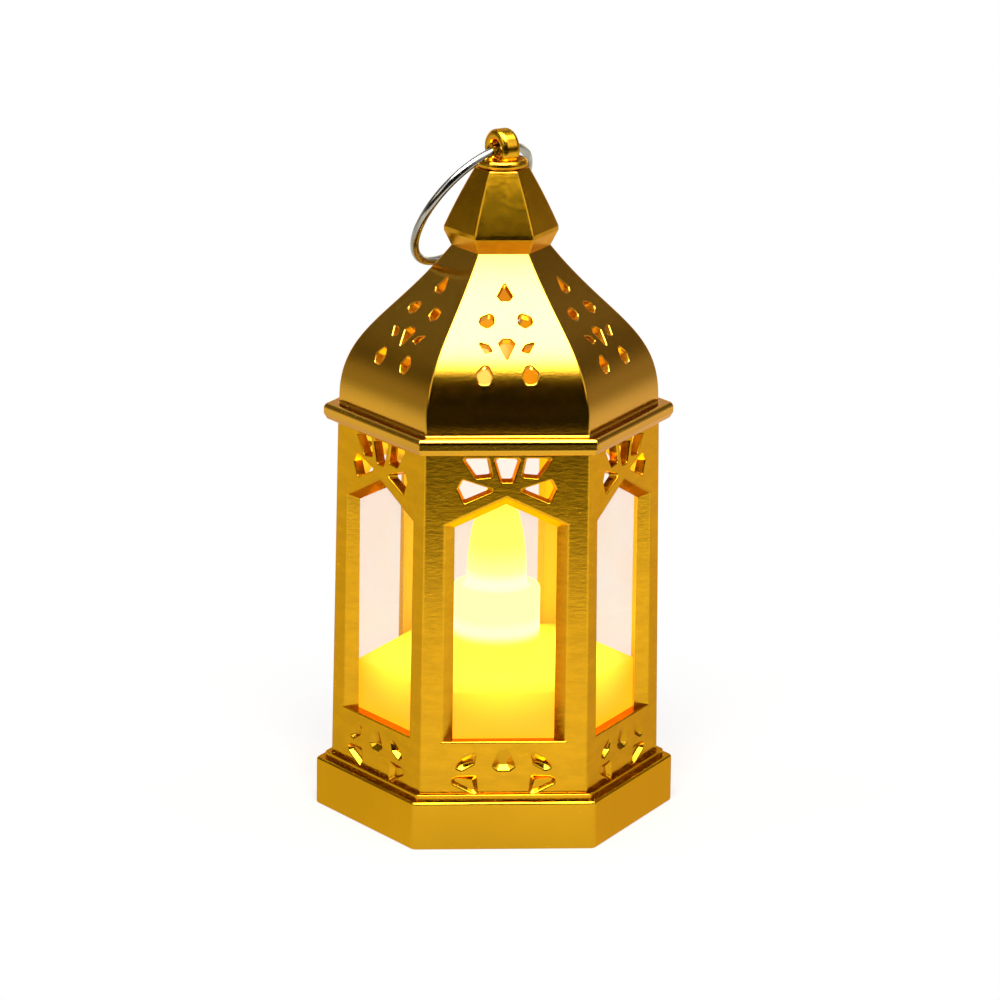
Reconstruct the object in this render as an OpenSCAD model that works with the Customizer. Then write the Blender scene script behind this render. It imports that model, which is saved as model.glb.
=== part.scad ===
// Six-sided tabletop lantern with a flameless LED candle, a pierced roof and a hanging ring.
// Millimetres, +Z up. The origin is the middle of the foot's underside, and the front looks along -Y.
// A radius of a six-sided shape is measured to its corners, and two of the corners lie on the X axis.

/* [Base] */
// Height of the foot up to its ledge
base_h = 8.7; // [8.4:0.1:11]
// How far the foot's corners stand out past the body
base_overhang = 2.8; // [2.4:0.1:4]
// Thickness of the foot's outer wall
base_wall = 2; // [1.6:0.1:2.4]
// Depth of the seat that the body stands in, below the ledge
seat_depth = 1.7; // [1.2:0.1:2]
// Thickness of the floor under the body
base_floor = 1.8; // [1.4:0.1:2]
// Height of the raised lip round the body
lip_h = 1.2; // [0.8:0.1:1.6]
// Width of the raised lip
lip_w = 1.1; // [0.8:0.1:1.4]
// Rounding of the ledge's outer edge
edge_round = 0.8; // [0.4:0.1:1.2]

/* [Body] */
// Corner radius of the body at its foot
body_foot_r = 30.2; // [29.6:0.1:33]
// How much smaller the corner radius is at the head
body_draft = 0.8; // [0:0.1:1.2]
// Height of the body wall
body_h = 66; // [64:0.5:72]
// Thickness of the body wall at its foot
body_wall = 2.2; // [2:0.1:2.6]

/* [Windows] */
// Clear width of a window between its jambs
window_w = 18.4; // [16:0.2:19]
// Height of the sill above the body's foot
sill_h = 12.6; // [12.2:0.1:13.2]
// Height of the wall above the jambs
head_strip = 13.8; // [13.6:0.1:16]
// Rise of the pointed head above the jambs
gable_h = 4.3; // [3:0.1:4.6]
// How far each jamb spreads on its way out through the wall
jamb_splay = 2; // [1:0.1:2.2]
// How far the pointed head rises on its way out through the wall
head_splay = 1.65; // [1:0.05:1.8]
// Thickness of a clear pane
pane_t = 0.8; // [0.5:0.1:1]
// How far a pane reaches past its window
pane_lap = 1.2; // [0.8:0.1:1.6]

/* [Pattern] */
// Width of the pierced fan above a window
fan_w = 18; // [14:0.5:18.5]
// Solid strip left between the fan and the body's head
fan_margin = 0.7; // [0.5:0.1:1]
// Width of the sunk pattern under a window
foot_pattern_w = 19; // [15:0.5:19.5]
// Depth of the sunk pattern
foot_pattern_depth = 1; // [0.5:0.1:1.4]
// Width of the pattern of drops on a roof panel
drops_w = 11.2; // [9:0.2:12]

/* [Roof] */
// How far the cornice's corners stand out past the body's head
cornice_overhang = 2.6; // [2:0.1:3.4]
// Height of the cornice at its outer edge
cornice_h = 3.3; // [3:0.1:4]
// How far the cornice's top falls on its way out
cornice_fall = 0.8; // [0.4:0.1:1]
// Width of the bevel under the cornice
cornice_bevel = 2.4; // [1.8:0.1:2.4]
// Height of that bevel
cornice_rise = 1.3; // [0.8:0.1:1.8]
// Rounding of the cornice's upper edge
cornice_round = 0.6; // [0.3:0.1:0.9]
// How far the roof's foot stands in from the body's head
roof_inset = 0.2; // [0:0.1:0.6]
// Height of the roof from the cornice to the neck
roof_h = 28.5; // [26:0.1:32]
// Corner radius of the neck
neck_r = 9.1; // [8:0.1:10]
// Upright pull of the roof's curve at its foot
shoulder_pull = 13; // [10:0.1:15]
// Pull of the roof's curve at the neck
neck_pull = 16.6; // [14:0.1:18]
// Slope of the roof's curve at the neck, in degrees
neck_slope = 55; // [48:1:58]
// Thickness of the roof's shell
roof_wall = 1.6; // [1.2:0.1:1.8]
// Height of the tabs that hold the roof on the body
tab_h = 3; // [2:0.1:4]

/* [Cap and ring] */
// Height of the cap above the neck
cap_h = 14.4; // [12:0.1:16]
// How far the cap's eave stands out past the neck
eave_overhang = 1.4; // [0.8:0.1:2]
// Height of the flare under the eave
flare_h = 2.8; // [2:0.1:3.4]
// Thickness of the eave's edge
eave_t = 0.8; // [0.4:0.1:1.2]
// Corner radius of the cap's top
cap_top_r = 5; // [4.4:0.1:6]
// Diameter of the peg that holds the cap in the roof
peg_d = 8; // [6:0.1:9]
// Length of that peg
peg_l = 3; // [2:0.1:3.4]
// Outer radius of the bulging collar under the eye
collar_r = 4.7; // [4.2:0.1:4.8]
// Height of the collar
collar_h = 1.7; // [1.4:0.1:1.8]
// Outer radius of the eye
eye_r = 3.6; // [3.2:0.1:4]
// Diameter of the eye's hole
eye_hole_d = 3.2; // [3.1:0.05:3.3]
// Thickness of the eye along its hole
eye_t = 3.7; // [3:0.1:3.8]
// Diameter of the ring's wire
wire_d = 1.6; // [1.2:0.05:1.7]
// Radius of the ring to the middle of its wire
ring_r = 13.6; // [13.3:0.1:14]
// How far below level the ring leans at rest, in degrees
ring_lean = 57.5; // [50:0.5:57.5]
// How far the slack ring is skewed from the eye's hole, in degrees
ring_skew = 18; // [0:0.5:18]
// How far the slack ring has slid through the eye
ring_slide = 0.5; // [0:0.1:0.6]

/* [Candle] */
// Gap between the candle and the body's inner face
candle_gap = 1.75; // [1.4:0.05:2.4]
// Height of the candle's shoulder above the floor
candle_h = 20.7; // [18:0.1:24]
// Thickness of the candle's wall
candle_wall = 1.5; // [1.2:0.1:1.8]
// Radius of the pillar
pillar_r = 8; // [7.4:0.1:9]
// Height of the pillar above the shoulder
pillar_h = 14.3; // [12:0.1:15]
// Rounding between the pillar and the shoulder
pillar_fillet = 2.4; // [1.5:0.1:3]
// Rounding of the pillar's rim
pillar_rim = 0.8; // [0.4:0.1:0.8]
// Radius of the flame where it leaves the pillar
flame_r = 5.5; // [5:0.1:5.8]
// Height of the flame above the pillar
flame_h = 19.5; // [16:0.1:21]
// Thickness of the flame's shell
flame_wall = 1.2; // [0.8:0.1:1.4]
// Depth of the flame's socket in the pillar
socket_depth = 4; // [3:0.1:5]

/* [Electrics] */
// Diameter of the coin cell
cell_d = 20; // [16:4:20]
// Thickness of the coin cell
cell_t = 3.2; // [2:0.4:3.2]
// Diameter of the LED
led_d = 5; // [3:1:5]
// Length of the LED from its rim to its tip
led_l = 8.6; // [7:0.1:9]
// Diameter of the LED's board
board_d = 15; // [13:0.5:18]
// Thickness of the board
board_t = 1; // [0.8:0.1:1.2]
// Diameter of a lead
lead_d = 1.2; // [0.8:0.1:1.4]
// Thickness of the contacts' sheet metal
contact_t = 0.4; // [0.3:0.05:0.5]
// Travel of the switch
switch_travel = 3; // [2:0.1:3.5]

/* [Bottom cover] */
// Thickness of the cover
cover_t = 1.6; // [1.4:0.1:1.8]
// Height of the cover's underside above the table
cover_inset = 0.8; // [0.6:0.1:1]
// Diameter of a cover screw
screw_d = 2; // [1.6:0.1:2.2]
// Diameter of a cover screw's head
screw_head_d = 3.8; // [3.2:0.1:4.2]
// Depth of a cover screw's head
screw_head_h = 0.9; // [0.7:0.05:1]
// How far the twist door turns to open, in degrees
door_turn = 60; // [45:1:75]

/* [Fits] */
// Gap between fixed pieces that slide together
fit = 0.1; // [0.05:0.01:0.15]
// Gap between moving pieces
play = 0.3; // [0.2:0.05:0.4]
// Gap round a turning piece that is guided
running = 0.1; // [0.05:0.01:0.1]

/* [Hidden] */
$fn = 48;
sides = 6;
face_turn = 360 / sides;
slant = cos(face_turn / 2);
past = 1;

// Gap between the collar and the ring's wire in the eye
ring_lift = 0.94;

// Levels of the base, body, roof and cap
seat_z = base_h - seat_depth;
floor_z = seat_z - base_floor;
lip_z = base_h + lip_h;
head_z = seat_z + body_h;
edge_z = head_z + cornice_h;
roof_z = edge_z + cornice_fall;
neck_z = roof_z + roof_h;
cap_z = neck_z + cap_h;
eye_z = cap_z + collar_h + wire_d / 2 + ring_lift;

// Radii of the six-sided shapes
base_r = body_foot_r + base_overhang;
body_head_r = body_foot_r - body_draft;
body_in = body_foot_r * slant - body_wall;
body_in_r = body_in / slant;
mid_wall = (body_foot_r + body_head_r) / 2 * slant - body_in;
lip_in_r = body_foot_r + fit;
lip_out_r = lip_in_r + lip_w;
cavity_r = base_r - base_wall / slant;
cornice_r = body_head_r + cornice_overhang;
roof_foot_r = body_head_r - roof_inset;
candle_r = (body_in - candle_gap) / slant;
candle_in_r = candle_r - candle_wall / slant;
opening_r = candle_in_r - 0.6;

// Window levels
sill_z = seat_z + sill_h;
shoulder_z = head_z - head_strip;
gable_z = shoulder_z + gable_h;
gable_slope = gable_h / (window_w / 2);

// Candle, pillar and flame levels
candle_z = seat_z + candle_h;
pillar_z = candle_z + pillar_h;
socket_z = pillar_z - socket_depth;
socket_r = flame_r + 0.8;
bore_r = socket_r - 0.8;
board_z = candle_z - candle_wall - board_t;
led_rim_r = led_d / 2 + 0.4;
led_rim_h = 1;

// Twist door and cell well, measured from the well's own axis
well_y = -5;
well_wall = 1.5;
cover_z = cover_inset + cover_t;
cell_r = cell_d / 2;
door_r = cell_r + 0.9;
lug_reach = 1.3;
lug_w = 4;
lug_t = 1;
lug_z = cover_z + running;
door_top = lug_z + lug_t;
groove_r = door_r + lug_reach + play;
groove_z = door_top + 0.2;
well_r = groove_r + well_wall;
cell_z = door_top + running;
cell_top = cell_z + cell_t;
well_roof = cell_top + 1.6;
well_top = well_roof + 1.2;
leg_y = cell_r - 2;
leaf_w = 4;
clip_w = 3;

// Slide switch
switch_y = 14;
knob_l = 3;
knob_w = 2.2;
foot_l = 4;
foot_w = 3.2;
foot_h = 2;
switch_cavity_l = foot_l + switch_travel + 2 * play;
switch_cavity_w = foot_w + 2 * play;
switch_l = switch_cavity_l + 1.6;
switch_w = switch_cavity_w + 1.6;
switch_h = 4.6;
switch_z = cover_z + switch_h;
pin_gap = 2.5;
pin_h = 2;

// Cover screws stand in bosses under the floor, at three of the faces
boss_d = screw_d + 3;
boss_at = (opening_r * slant + cavity_r * slant) / 2;
boss_turns = [30, 150, 270];

// The fan above a window, on a grid 18 across, from the fan's centre
fan_unit = fan_w / 18;
fan_top = 5.5;
fan_z = head_z - fan_margin - fan_top * fan_unit;
fan_blades = [
    [[1.9, -0.4], [8.0, 1.6], [8.9, -0.2], [7.7, -2.9]],
    [[2.6, 2.0], [5.6, 1.7], [8.2, fan_top], [3.3, fan_top]],
];
fan_middle = [[-1.1, 1.0], [1.1, 1.0], [2.5, fan_top], [-2.5, fan_top]];

// The sunk pattern under a window, on a grid 19 across, from the middle of the body's foot
foot_unit = foot_pattern_w / 19;
foot_leaves = [
    [[4.6, 11.1], [7.6, 9.5], [9.1, 7.7], [7.6, 7.1], [5.3, 8.4]],
    [[5.0, 6.4], [8.5, 5.8], [9.5, 4.4], [8.6, 1.6], [4.1, 1.6]],
];
foot_drop = [[-0.9, 11.0], [0.9, 11.0], [2.3, 8.0], [1.2, 7.1], [-1.2, 7.1], [-2.3, 8.0]];

// The drops on a roof panel, on a grid 11.2 across, in rows placed along the roof's curve
drop_unit = drops_w / 11.2;
drop_rows = [0.832, 0.68, 0.494, 0.328];
row_middles = [
    [[0, 1.9], [1.4, -0.8], [0.8, -1.6], [-0.8, -1.6], [-1.4, -0.8]],
    [],
    [[0, -2.2], [1.5, 1.2], [0.7, 2.1], [-0.7, 2.1], [-1.5, 1.2]],
    [],
];
row_sides = [
    [],
    [[2.2, 1.6], [4.5, 0.7], [4.9, -0.6], [3.4, -1.6], [2.1, -0.6]],
    [[5.1, 1.5], [3.3, 0.9], [2.6, -0.3], [3.9, -0.7]],
    [[3.7, 2.2], [5.6, 0.1], [5.0, -1.7], [3.4, -1.8], [2.7, -0.2]],
];

gold = "#C9951C";
wax = "#F6DFA0";
clear = "#F4F1E8";
steel = "#C9CBCD";
brass = "#C9A24A";
black = "#24211E";

function unit(v) = v / norm(v);

function scaled(points, by) = [for (p = points) p * by];

function mirrored(points) = [for (i = [len(points) - 1:-1:0]) [-points[i].x, points[i].y]];

// Outline with each corner rounded: an arc of a few chords between its two tangent points
function eased(points, r, chords = 4) = let(n = len(points)) [
    for (i = [0:n - 1])
        let(
            p = points[i],
            a = unit(points[(i + n - 1) % n] - p),
            b = unit(points[(i + 1) % n] - p),
            half = acos(a * b) / 2,
            middle = p + unit(a + b) * r / sin(half),
            from = p + a * r / tan(half) - middle,
            to = p + b * r / tan(half) - middle
        )
        for (k = [0:chords]) middle + r * unit(from * (chords - k) + to * k)
];

// Points of an arc in the plane
function arc(middle, r, from, to, chords) = [
    for (k = [0:chords])
        let(turn = from + (to - from) * k / chords)
        middle + r * [cos(turn), sin(turn)]
];

// Cubic curve through four control points, and its direction
function curve(p, t) = p[0] * pow(1 - t, 3) + p[1] * 3 * t * pow(1 - t, 2)
    + p[2] * 3 * t * t * (1 - t) + p[3] * pow(t, 3);
function heading(p, t) = unit((p[1] - p[0]) * pow(1 - t, 2) + (p[2] - p[1]) * 2 * t * (1 - t)
    + (p[3] - p[2]) * t * t);

// The roof's profile at the middle of a panel: distance from the axis, and height
roof_control = [
    [roof_foot_r * slant, roof_z],
    [roof_foot_r * slant, roof_z + shoulder_pull],
    [neck_r * slant + neck_pull * cos(neck_slope), neck_z - neck_pull * sin(neck_slope)],
    [neck_r * slant, neck_z],
];
roof_steps = 14;
inner_end = 0.92;

function roof_outer(t) = curve(roof_control, t);
function roof_inner(t) = let(go = heading(roof_control, t)) roof_outer(t) - roof_wall * [go.y, -go.x];

// The profile at the corners, for a six-sided turn
function at_corner(p) = [p.x / slant, p.y];

module hexagon(r, h) {
    cylinder(r = r, h = h, $fn = sides);
}

module six_sided(profile) {
    rotate_extrude($fn = sides) polygon(profile);
}

// Puts a drawing on one face: its x runs along the face, its y up, and its z outwards
module on_face(i, distance) {
    rotate([0, 0, i * face_turn])
        translate([0, -distance, 0])
            rotate([90, 0, 0])
                children();
}

// Outline of a window, at a share of the way out through the wall
function window_outline(share) = let(
    half = window_w / 2 + share * jamb_splay,
    jamb = shoulder_z + share * (head_splay - jamb_splay * gable_slope),
    peak = gable_z + share * head_splay
) [[-half, sill_z], [half, sill_z], [half, jamb], [0, peak], [-half, jamb]];

// Solid that cuts a window: wider outside than inside, with a level sill
module window_cut(i) {
    shares = [-0.4, 1.6];
    rings = [for (s = shares) [for (p = window_outline(s)) [p.x, p.y, s * mid_wall]]];
    n = len(rings[0]);
    walls = [for (k = [0:n - 1]) [k, n + k, n + (k + 1) % n, (k + 1) % n]];
    inside = [for (k = [0:n - 1]) k];
    outside = [for (k = [n - 1:-1:0]) n + k];
    on_face(i, body_in)
        polyhedron(concat(rings[0], rings[1]), concat(walls, [inside, outside]));
}

module fan_cut(i) {
    on_face(i, body_in - past)
        linear_extrude(body_wall + 2 * past)
            translate([0, fan_z]) {
                polygon(eased(scaled(fan_middle, fan_unit), 0.5 * fan_unit));
                for (blade = fan_blades) {
                    polygon(eased(scaled(blade, fan_unit), 0.35 * fan_unit));
                    polygon(eased(scaled(mirrored(blade), fan_unit), 0.35 * fan_unit));
                }
            }
}

// Cuts the sunk pattern into the drafted wall, square to its face
module foot_pattern_cut(i) {
    lean = atan(body_draft * slant / body_h);
    rotate([0, 0, i * face_turn])
        translate([0, -body_foot_r * slant, seat_z])
            rotate([90 - lean, 0, 0])
                translate([0, 0, -foot_pattern_depth])
                    linear_extrude(foot_pattern_depth + past) {
                        polygon(eased(scaled(foot_drop, foot_unit), 0.3 * foot_unit));
                        for (leaf = foot_leaves) {
                            polygon(eased(scaled(leaf, foot_unit), 0.35 * foot_unit));
                            polygon(eased(scaled(mirrored(leaf), foot_unit), 0.35 * foot_unit));
                        }
                    }
}

// Cuts one row of drops through a roof panel, square to the roof at that row
module drop_row_cut(i, row) {
    at = roof_outer(drop_rows[row]);
    go = heading(roof_control, drop_rows[row]);
    rotate([0, 0, i * face_turn])
        translate([0, -at.x, at.y])
            rotate([atan2(go.y, -go.x), 0, 0])
                translate([0, 0, -2 * roof_wall])
                    linear_extrude(3 * roof_wall) {
                        if (len(row_middles[row]) > 0)
                            polygon(eased(scaled(row_middles[row], drop_unit), 0.25 * drop_unit));
                        if (len(row_sides[row]) > 0) {
                            polygon(eased(scaled(row_sides[row], drop_unit), 0.3 * drop_unit));
                            polygon(eased(scaled(mirrored(row_sides[row]), drop_unit), 0.3 * drop_unit));
                        }
                    }
}

// Hollow foot with a seat for the body, and bosses for the cover's screws
module base_plinth() {
    profile = concat(
        [[0, 0], [base_r, 0]],
        arc([base_r - edge_round, base_h - edge_round], edge_round, 0, 90, 3),
        [[lip_out_r, base_h], [lip_out_r, lip_z], [0, lip_z]]
    );
    color(gold) {
        difference() {
            six_sided(profile);
            translate([0, 0, seat_z]) hexagon(lip_in_r, lip_z);
            translate([0, 0, -past]) hexagon(cavity_r, floor_z + past);
            translate([0, 0, -past]) hexagon(opening_r, base_h + past);
        }
        for (turn = boss_turns)
            rotate([0, 0, turn])
                translate([boss_at, 0, cover_z])
                    difference() {
                        cylinder(d = boss_d, h = floor_z - cover_z + base_floor / 2);
                        translate([0, 0, -past]) cylinder(d = screw_d + fit / 2, h = floor_z - cover_z + past);
                    }
    }
}

// Plate under the foot, with the cell's well, the door's bayonet and the switch's slot
module bottom_cover() {
    slot_l = knob_l + switch_travel + 2 * play;
    color(black)
        difference() {
            union() {
                translate([0, 0, cover_inset]) hexagon(cavity_r - play, cover_t);
                translate([0, well_y, cover_inset]) cylinder(r = well_r, h = well_top - cover_inset);
            }
            translate([0, well_y, 0]) {
                cylinder(r = door_r + running, h = groove_z);
                translate([0, 0, cover_z]) cylinder(r = groove_r, h = groove_z - cover_z);
                cylinder(r = cell_r + play, h = well_roof);
                rotate([0, 0, door_turn])
                    cube([2 * groove_r - play, lug_w + 2 * play, 2 * groove_z], center = true);
                translate([cell_r - past, -clip_w / 2 - play, groove_z])
                    cube([past + contact_t + play, clip_w + 2 * play, well_top]);
                translate([-leaf_w / 2 - play, leg_y - play, well_roof - past])
                    cube([leaf_w + 2 * play, contact_t + 2 * play, well_top]);
            }
            translate([-slot_l / 2, switch_y - knob_w / 2 - play, 0])
                cube([slot_l, knob_w + 2 * play, cover_z + past]);
            for (turn = boss_turns)
                rotate([0, 0, turn])
                    translate([boss_at, 0, 0]) {
                        cylinder(d = screw_d + 4 * fit, h = cover_z + past);
                        cylinder(d = screw_head_d + 2 * fit, h = cover_inset + screw_head_h);
                    }
        }
}

// Three screws with cross recesses
module cover_screws() {
    cross = [screw_head_d * 0.6, 0.5, screw_head_h];
    color(steel)
        for (turn = boss_turns)
            rotate([0, 0, turn])
                translate([boss_at, 0, cover_inset])
                    difference() {
                        union() {
                            cylinder(d = screw_head_d, h = screw_head_h);
                            cylinder(d = screw_d, h = floor_z - cover_inset);
                        }
                        for (quarter = [0, 90])
                            rotate([0, 0, quarter]) cube(cross, center = true);
                    }
}

// Round door with two bayonet lugs and a coin slot
module battery_door() {
    coin_slot = [12, 1.6, 2 * 0.8];
    color(black)
        translate([0, well_y, 0])
            difference() {
                union() {
                    translate([0, 0, cover_inset]) cylinder(r = door_r, h = lug_z - cover_inset);
                    translate([0, 0, lug_z]) cylinder(r = cell_r - play, h = lug_t);
                    translate([-door_r - lug_reach, -lug_w / 2, lug_z])
                        cube([2 * (door_r + lug_reach), lug_w, lug_t]);
                }
                translate([0, 0, cover_inset]) cube(coin_slot, center = true);
            }
}

// Coin cell: a can with a smaller lid on top
module coin_cell() {
    lid_t = 0.6;
    color(steel)
        translate([0, well_y, cell_z]) {
            cylinder(r = cell_r, h = cell_t - lid_t);
            cylinder(r = cell_r - 1.2, h = cell_t);
        }
}

// Clip at the side of the cell, with a solder tab on top of the well
module positive_contact() {
    color(brass)
        translate([0, well_y, 0])
            rotate([90, 0, 0])
                translate([0, 0, -clip_w / 2])
                    linear_extrude(clip_w) {
                        translate([cell_r, groove_z + fit]) square([contact_t, well_top + contact_t - groove_z - fit]);
                        translate([cell_r, well_top]) square([clip_w, contact_t]);
                    }
}

// Leaf that presses on top of the cell, with a leg through the well's roof and a solder tab
module negative_contact() {
    leaf = [
        [-cell_r * 0.15, cell_top],
        [leg_y, well_roof - contact_t - fit],
        [leg_y, well_roof - fit],
        [-cell_r * 0.15, cell_top + contact_t],
    ];
    color(brass)
        translate([0, well_y, 0])
            rotate([90, 0, 90])
                translate([0, 0, -leaf_w / 2])
                    linear_extrude(leaf_w) {
                        polygon(leaf);
                        translate([leg_y, well_roof - contact_t - fit])
                            square([contact_t, well_top - well_roof + 2 * contact_t + fit]);
                        translate([leg_y, well_top]) square([leaf_w, contact_t]);
                    }
}

// Switch case, open below where its slider runs
module switch_housing() {
    color(black)
        translate([0, switch_y, cover_z])
            difference() {
                translate([-switch_l / 2, -switch_w / 2, 0]) cube([switch_l, switch_w, switch_h]);
                translate([-switch_cavity_l / 2, -switch_cavity_w / 2, -past])
                    cube([switch_cavity_l, switch_cavity_w, foot_h + 2 * play + past]);
            }
}

// Three solder pins on top of the switch
module switch_terminals() {
    color(brass)
        for (k = [-1:1])
            translate([k * pin_gap, switch_y, switch_z + pin_h / 2])
                cube([1, 1, pin_h], center = true);
}

// Slider with its knob, at the end of its travel where the light is on
module switch_knob() {
    color("#D8D4CC")
        translate([switch_travel / 2, switch_y, 0]) {
            translate([-foot_l / 2, -foot_w / 2, cover_z + play]) cube([foot_l, foot_w, foot_h]);
            translate([-knob_l / 2, -knob_w / 2, play]) cube([knob_l, knob_w, cover_z]);
        }
}

// Board under the candle's top
module led_board() {
    color("#2E6B3F") translate([0, 0, board_z]) cylinder(d = board_d, h = board_t);
}

// Chip resistor under the board
module resistor() {
    chip = [3.2, 1.6, 0.6];
    color(black) translate([0, board_d * 0.3, board_z - chip.z / 2]) cube(chip, center = true);
}

// Domed LED on the board
module led() {
    color("#FFF3B0")
        translate([0, 0, board_z + board_t]) {
            cylinder(r = led_rim_r, h = led_rim_h);
            cylinder(d = led_d, h = led_l - led_d / 2);
            translate([0, 0, led_l - led_d / 2]) sphere(d = led_d);
        }
}

// Round lead from one solder point up and over to another, square to both
module lead(from, to, rise, drop) {
    steps = 12;
    corners = 8;
    control = [from, from + [0, 0, rise], to - [0, 0, drop], to];
    across = unit(cross(to - from, [0, 0, 1]));
    points = [
        for (k = [0:steps])
            let(p = curve(control, k / steps), up = cross(across, heading(control, k / steps)))
            for (c = [0:corners - 1])
                let(turn = 360 * c / corners)
                p + lead_d / 2 * (cos(turn) * across + sin(turn) * up)
    ];
    walls = [
        for (k = [0:steps - 1])
            for (c = [0:corners - 1])
                let(a = k * corners + c, b = k * corners + (c + 1) % corners)
                [a, b, b + corners, a + corners]
    ];
    start = [for (c = [corners - 1:-1:0]) c];
    end = [for (c = [0:corners - 1]) steps * corners + c];
    polyhedron(points, concat(walls, [start, end]));
}

positive_pad = [cell_r + clip_w / 2, well_y, well_top + contact_t];
negative_pad = [0, well_y + leg_y + leaf_w / 2, well_top + contact_t];
common_pin = [0, switch_y, switch_z + pin_h];
on_pin = [pin_gap, switch_y, switch_z + pin_h];
board_plus = [board_d * 0.27, -board_d * 0.13, board_z];
board_minus = [-board_d * 0.27, board_d * 0.13, board_z];

// Pulls of the leads' curves at their ends
lead_pull = (board_z - well_top) / 2;
link_pull = 4 * lead_d;

// Lead from the cell's clip to the board
module red_wire() {
    color("#B5231C") lead(positive_pad, board_plus, lead_pull, lead_pull);
}

// Lead from the switch to the board
module black_wire() {
    color(black) lead(on_pin, board_minus, lead_pull, lead_pull);
}

// Lead from the cell's leaf to the switch
module link_wire() {
    color(black) lead(negative_pad, common_pin, link_pull, -link_pull);
}

// Six-sided candle shell with its round pillar and the flame's socket
module candle_body() {
    profile = concat(
        [[led_rim_r + play, candle_z - candle_wall], [pillar_r + pillar_fillet, candle_z - candle_wall]],
        arc([pillar_r + pillar_fillet, candle_z + pillar_fillet], pillar_fillet, 270, 180, 6),
        arc([pillar_r - pillar_rim, pillar_z - pillar_rim], pillar_rim, 0, 90, 4),
        [[socket_r, pillar_z], [socket_r, socket_z], [bore_r, socket_z], [bore_r, candle_z],
         [led_rim_r + play, candle_z]]
    );
    color(wax) {
        difference() {
            translate([0, 0, seat_z]) hexagon(candle_r, candle_h);
            translate([0, 0, seat_z - past]) hexagon(candle_in_r, candle_h - candle_wall + past);
            translate([0, 0, candle_z - candle_wall - past]) cylinder(r = pillar_r, h = 2 * candle_wall + past);
        }
        rotate_extrude() polygon(profile);
    }
}

// Hollow flame on a round foot that stands in the pillar's socket
module flame_tip() {
    steps = 12;
    outer = [[flame_r, pillar_z], [flame_r * 1.04, pillar_z + flame_h * 0.42],
        [flame_r * 0.66, pillar_z + flame_h * 0.95], [0, pillar_z + flame_h]];
    hollow = [flame_wall, flame_wall];
    inner = [for (p = outer) [max(p.x - hollow.x, 0), p.y - hollow.y]];
    profile = concat(
        [[flame_r - flame_wall, socket_z], [socket_r - fit, socket_z], [socket_r - fit, pillar_z]],
        [for (k = [0:steps]) curve(outer, k / steps)],
        [for (k = [steps:-1:0]) curve(inner, k / steps)]
    );
    color("#FFE27A") rotate_extrude() polygon(profile);
}

// Six-sided wall with its windows, pierced fans and sunk patterns
module body_frame() {
    color(gold)
        difference() {
            translate([0, 0, seat_z]) cylinder(r1 = body_foot_r, r2 = body_head_r, h = body_h, $fn = sides);
            translate([0, 0, seat_z - past]) hexagon(body_in_r, body_h + 2 * past);
            for (i = [0:sides - 1]) {
                window_cut(i);
                fan_cut(i);
                foot_pattern_cut(i);
            }
        }
}

// Clear pane against the wall's inner face, in the outline of its window
module window_pane(i) {
    half = window_w / 2 + pane_lap;
    outline = [[-half, sill_z - pane_lap], [half, sill_z - pane_lap], [half, shoulder_z + pane_lap],
        [0, gable_z + pane_lap], [-half, shoulder_z + pane_lap]];
    color(clear, 0.25)
        on_face(i, body_in - pane_t)
            linear_extrude(pane_t) polygon(outline);
}

// Ogee roof with its cornice, pierced drops and the corner tabs that hold it on the body
module roof_dome() {
    inside = roof_inner(0);
    fall_angle = atan2(cornice_fall, cornice_r - roof_foot_r - cornice_round);
    tab_w = 3;
    tab_out = body_in_r - tab_w / 2 * tan(face_turn / 2) - 2 * fit;
    profile = concat(
        [[inside.x / slant, head_z], [cornice_r - cornice_bevel, head_z], [cornice_r, head_z + cornice_rise]],
        arc([cornice_r - cornice_round, edge_z - cornice_round], cornice_round, 0, 90 - fall_angle, 3),
        [for (k = [0:roof_steps]) at_corner(roof_outer(k / roof_steps))],
        [[0, neck_z], [0, roof_inner(inner_end).y]],
        [for (k = [roof_steps:-1:0]) at_corner(roof_inner(inner_end * k / roof_steps))]
    );
    color(gold) {
        difference() {
            six_sided(profile);
            translate([0, 0, neck_z - peg_l - roof_h / 4]) cylinder(d = peg_d + 2 * fit, h = roof_h);
            for (i = [0:sides - 1])
                for (row = [0:len(drop_rows) - 1])
                    drop_row_cut(i, row);
        }
        for (i = [0:sides - 1])
            rotate([0, 0, i * face_turn])
                translate([tab_out - roof_wall, -tab_w / 2, head_z - tab_h])
                    cube([roof_wall, tab_w, tab_h + past]);
    }
}

// Six-sided cap with its peg, collar and hanging eye
module roof_cap() {
    eave_r = neck_r + eave_overhang;
    profile = [[0, neck_z], [neck_r, neck_z], [eave_r, neck_z + flare_h],
        [eave_r, neck_z + flare_h + eave_t], [cap_top_r, cap_z], [0, cap_z]];
    rim = (eye_r - eye_hole_d / 2) / 2;
    bulge = collar_h / 2;
    color(gold) {
        six_sided(profile);
        translate([0, 0, neck_z - peg_l]) cylinder(d = peg_d, h = peg_l + past);
        difference() {
            union() {
                translate([0, 0, cap_z])
                    rotate_extrude() {
                        translate([collar_r - bulge, bulge]) circle(r = bulge);
                        translate([0, -past]) square([collar_r - bulge, collar_h + past]);
                    }
                eye_frame()
                    rotate([90, 0, 0])
                        rotate_extrude() {
                            translate([eye_r - rim, eye_t / 2 - rim]) circle(r = rim);
                            translate([eye_r - rim, rim - eye_t / 2]) circle(r = rim);
                            translate([eye_r - 2 * rim, rim - eye_t / 2]) square([2 * rim, eye_t - 2 * rim]);
                        }
            }
            eye_frame() rotate([90, 0, 0]) cylinder(d = eye_hole_d, h = 4 * eye_r, center = true);
        }
    }
}

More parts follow.
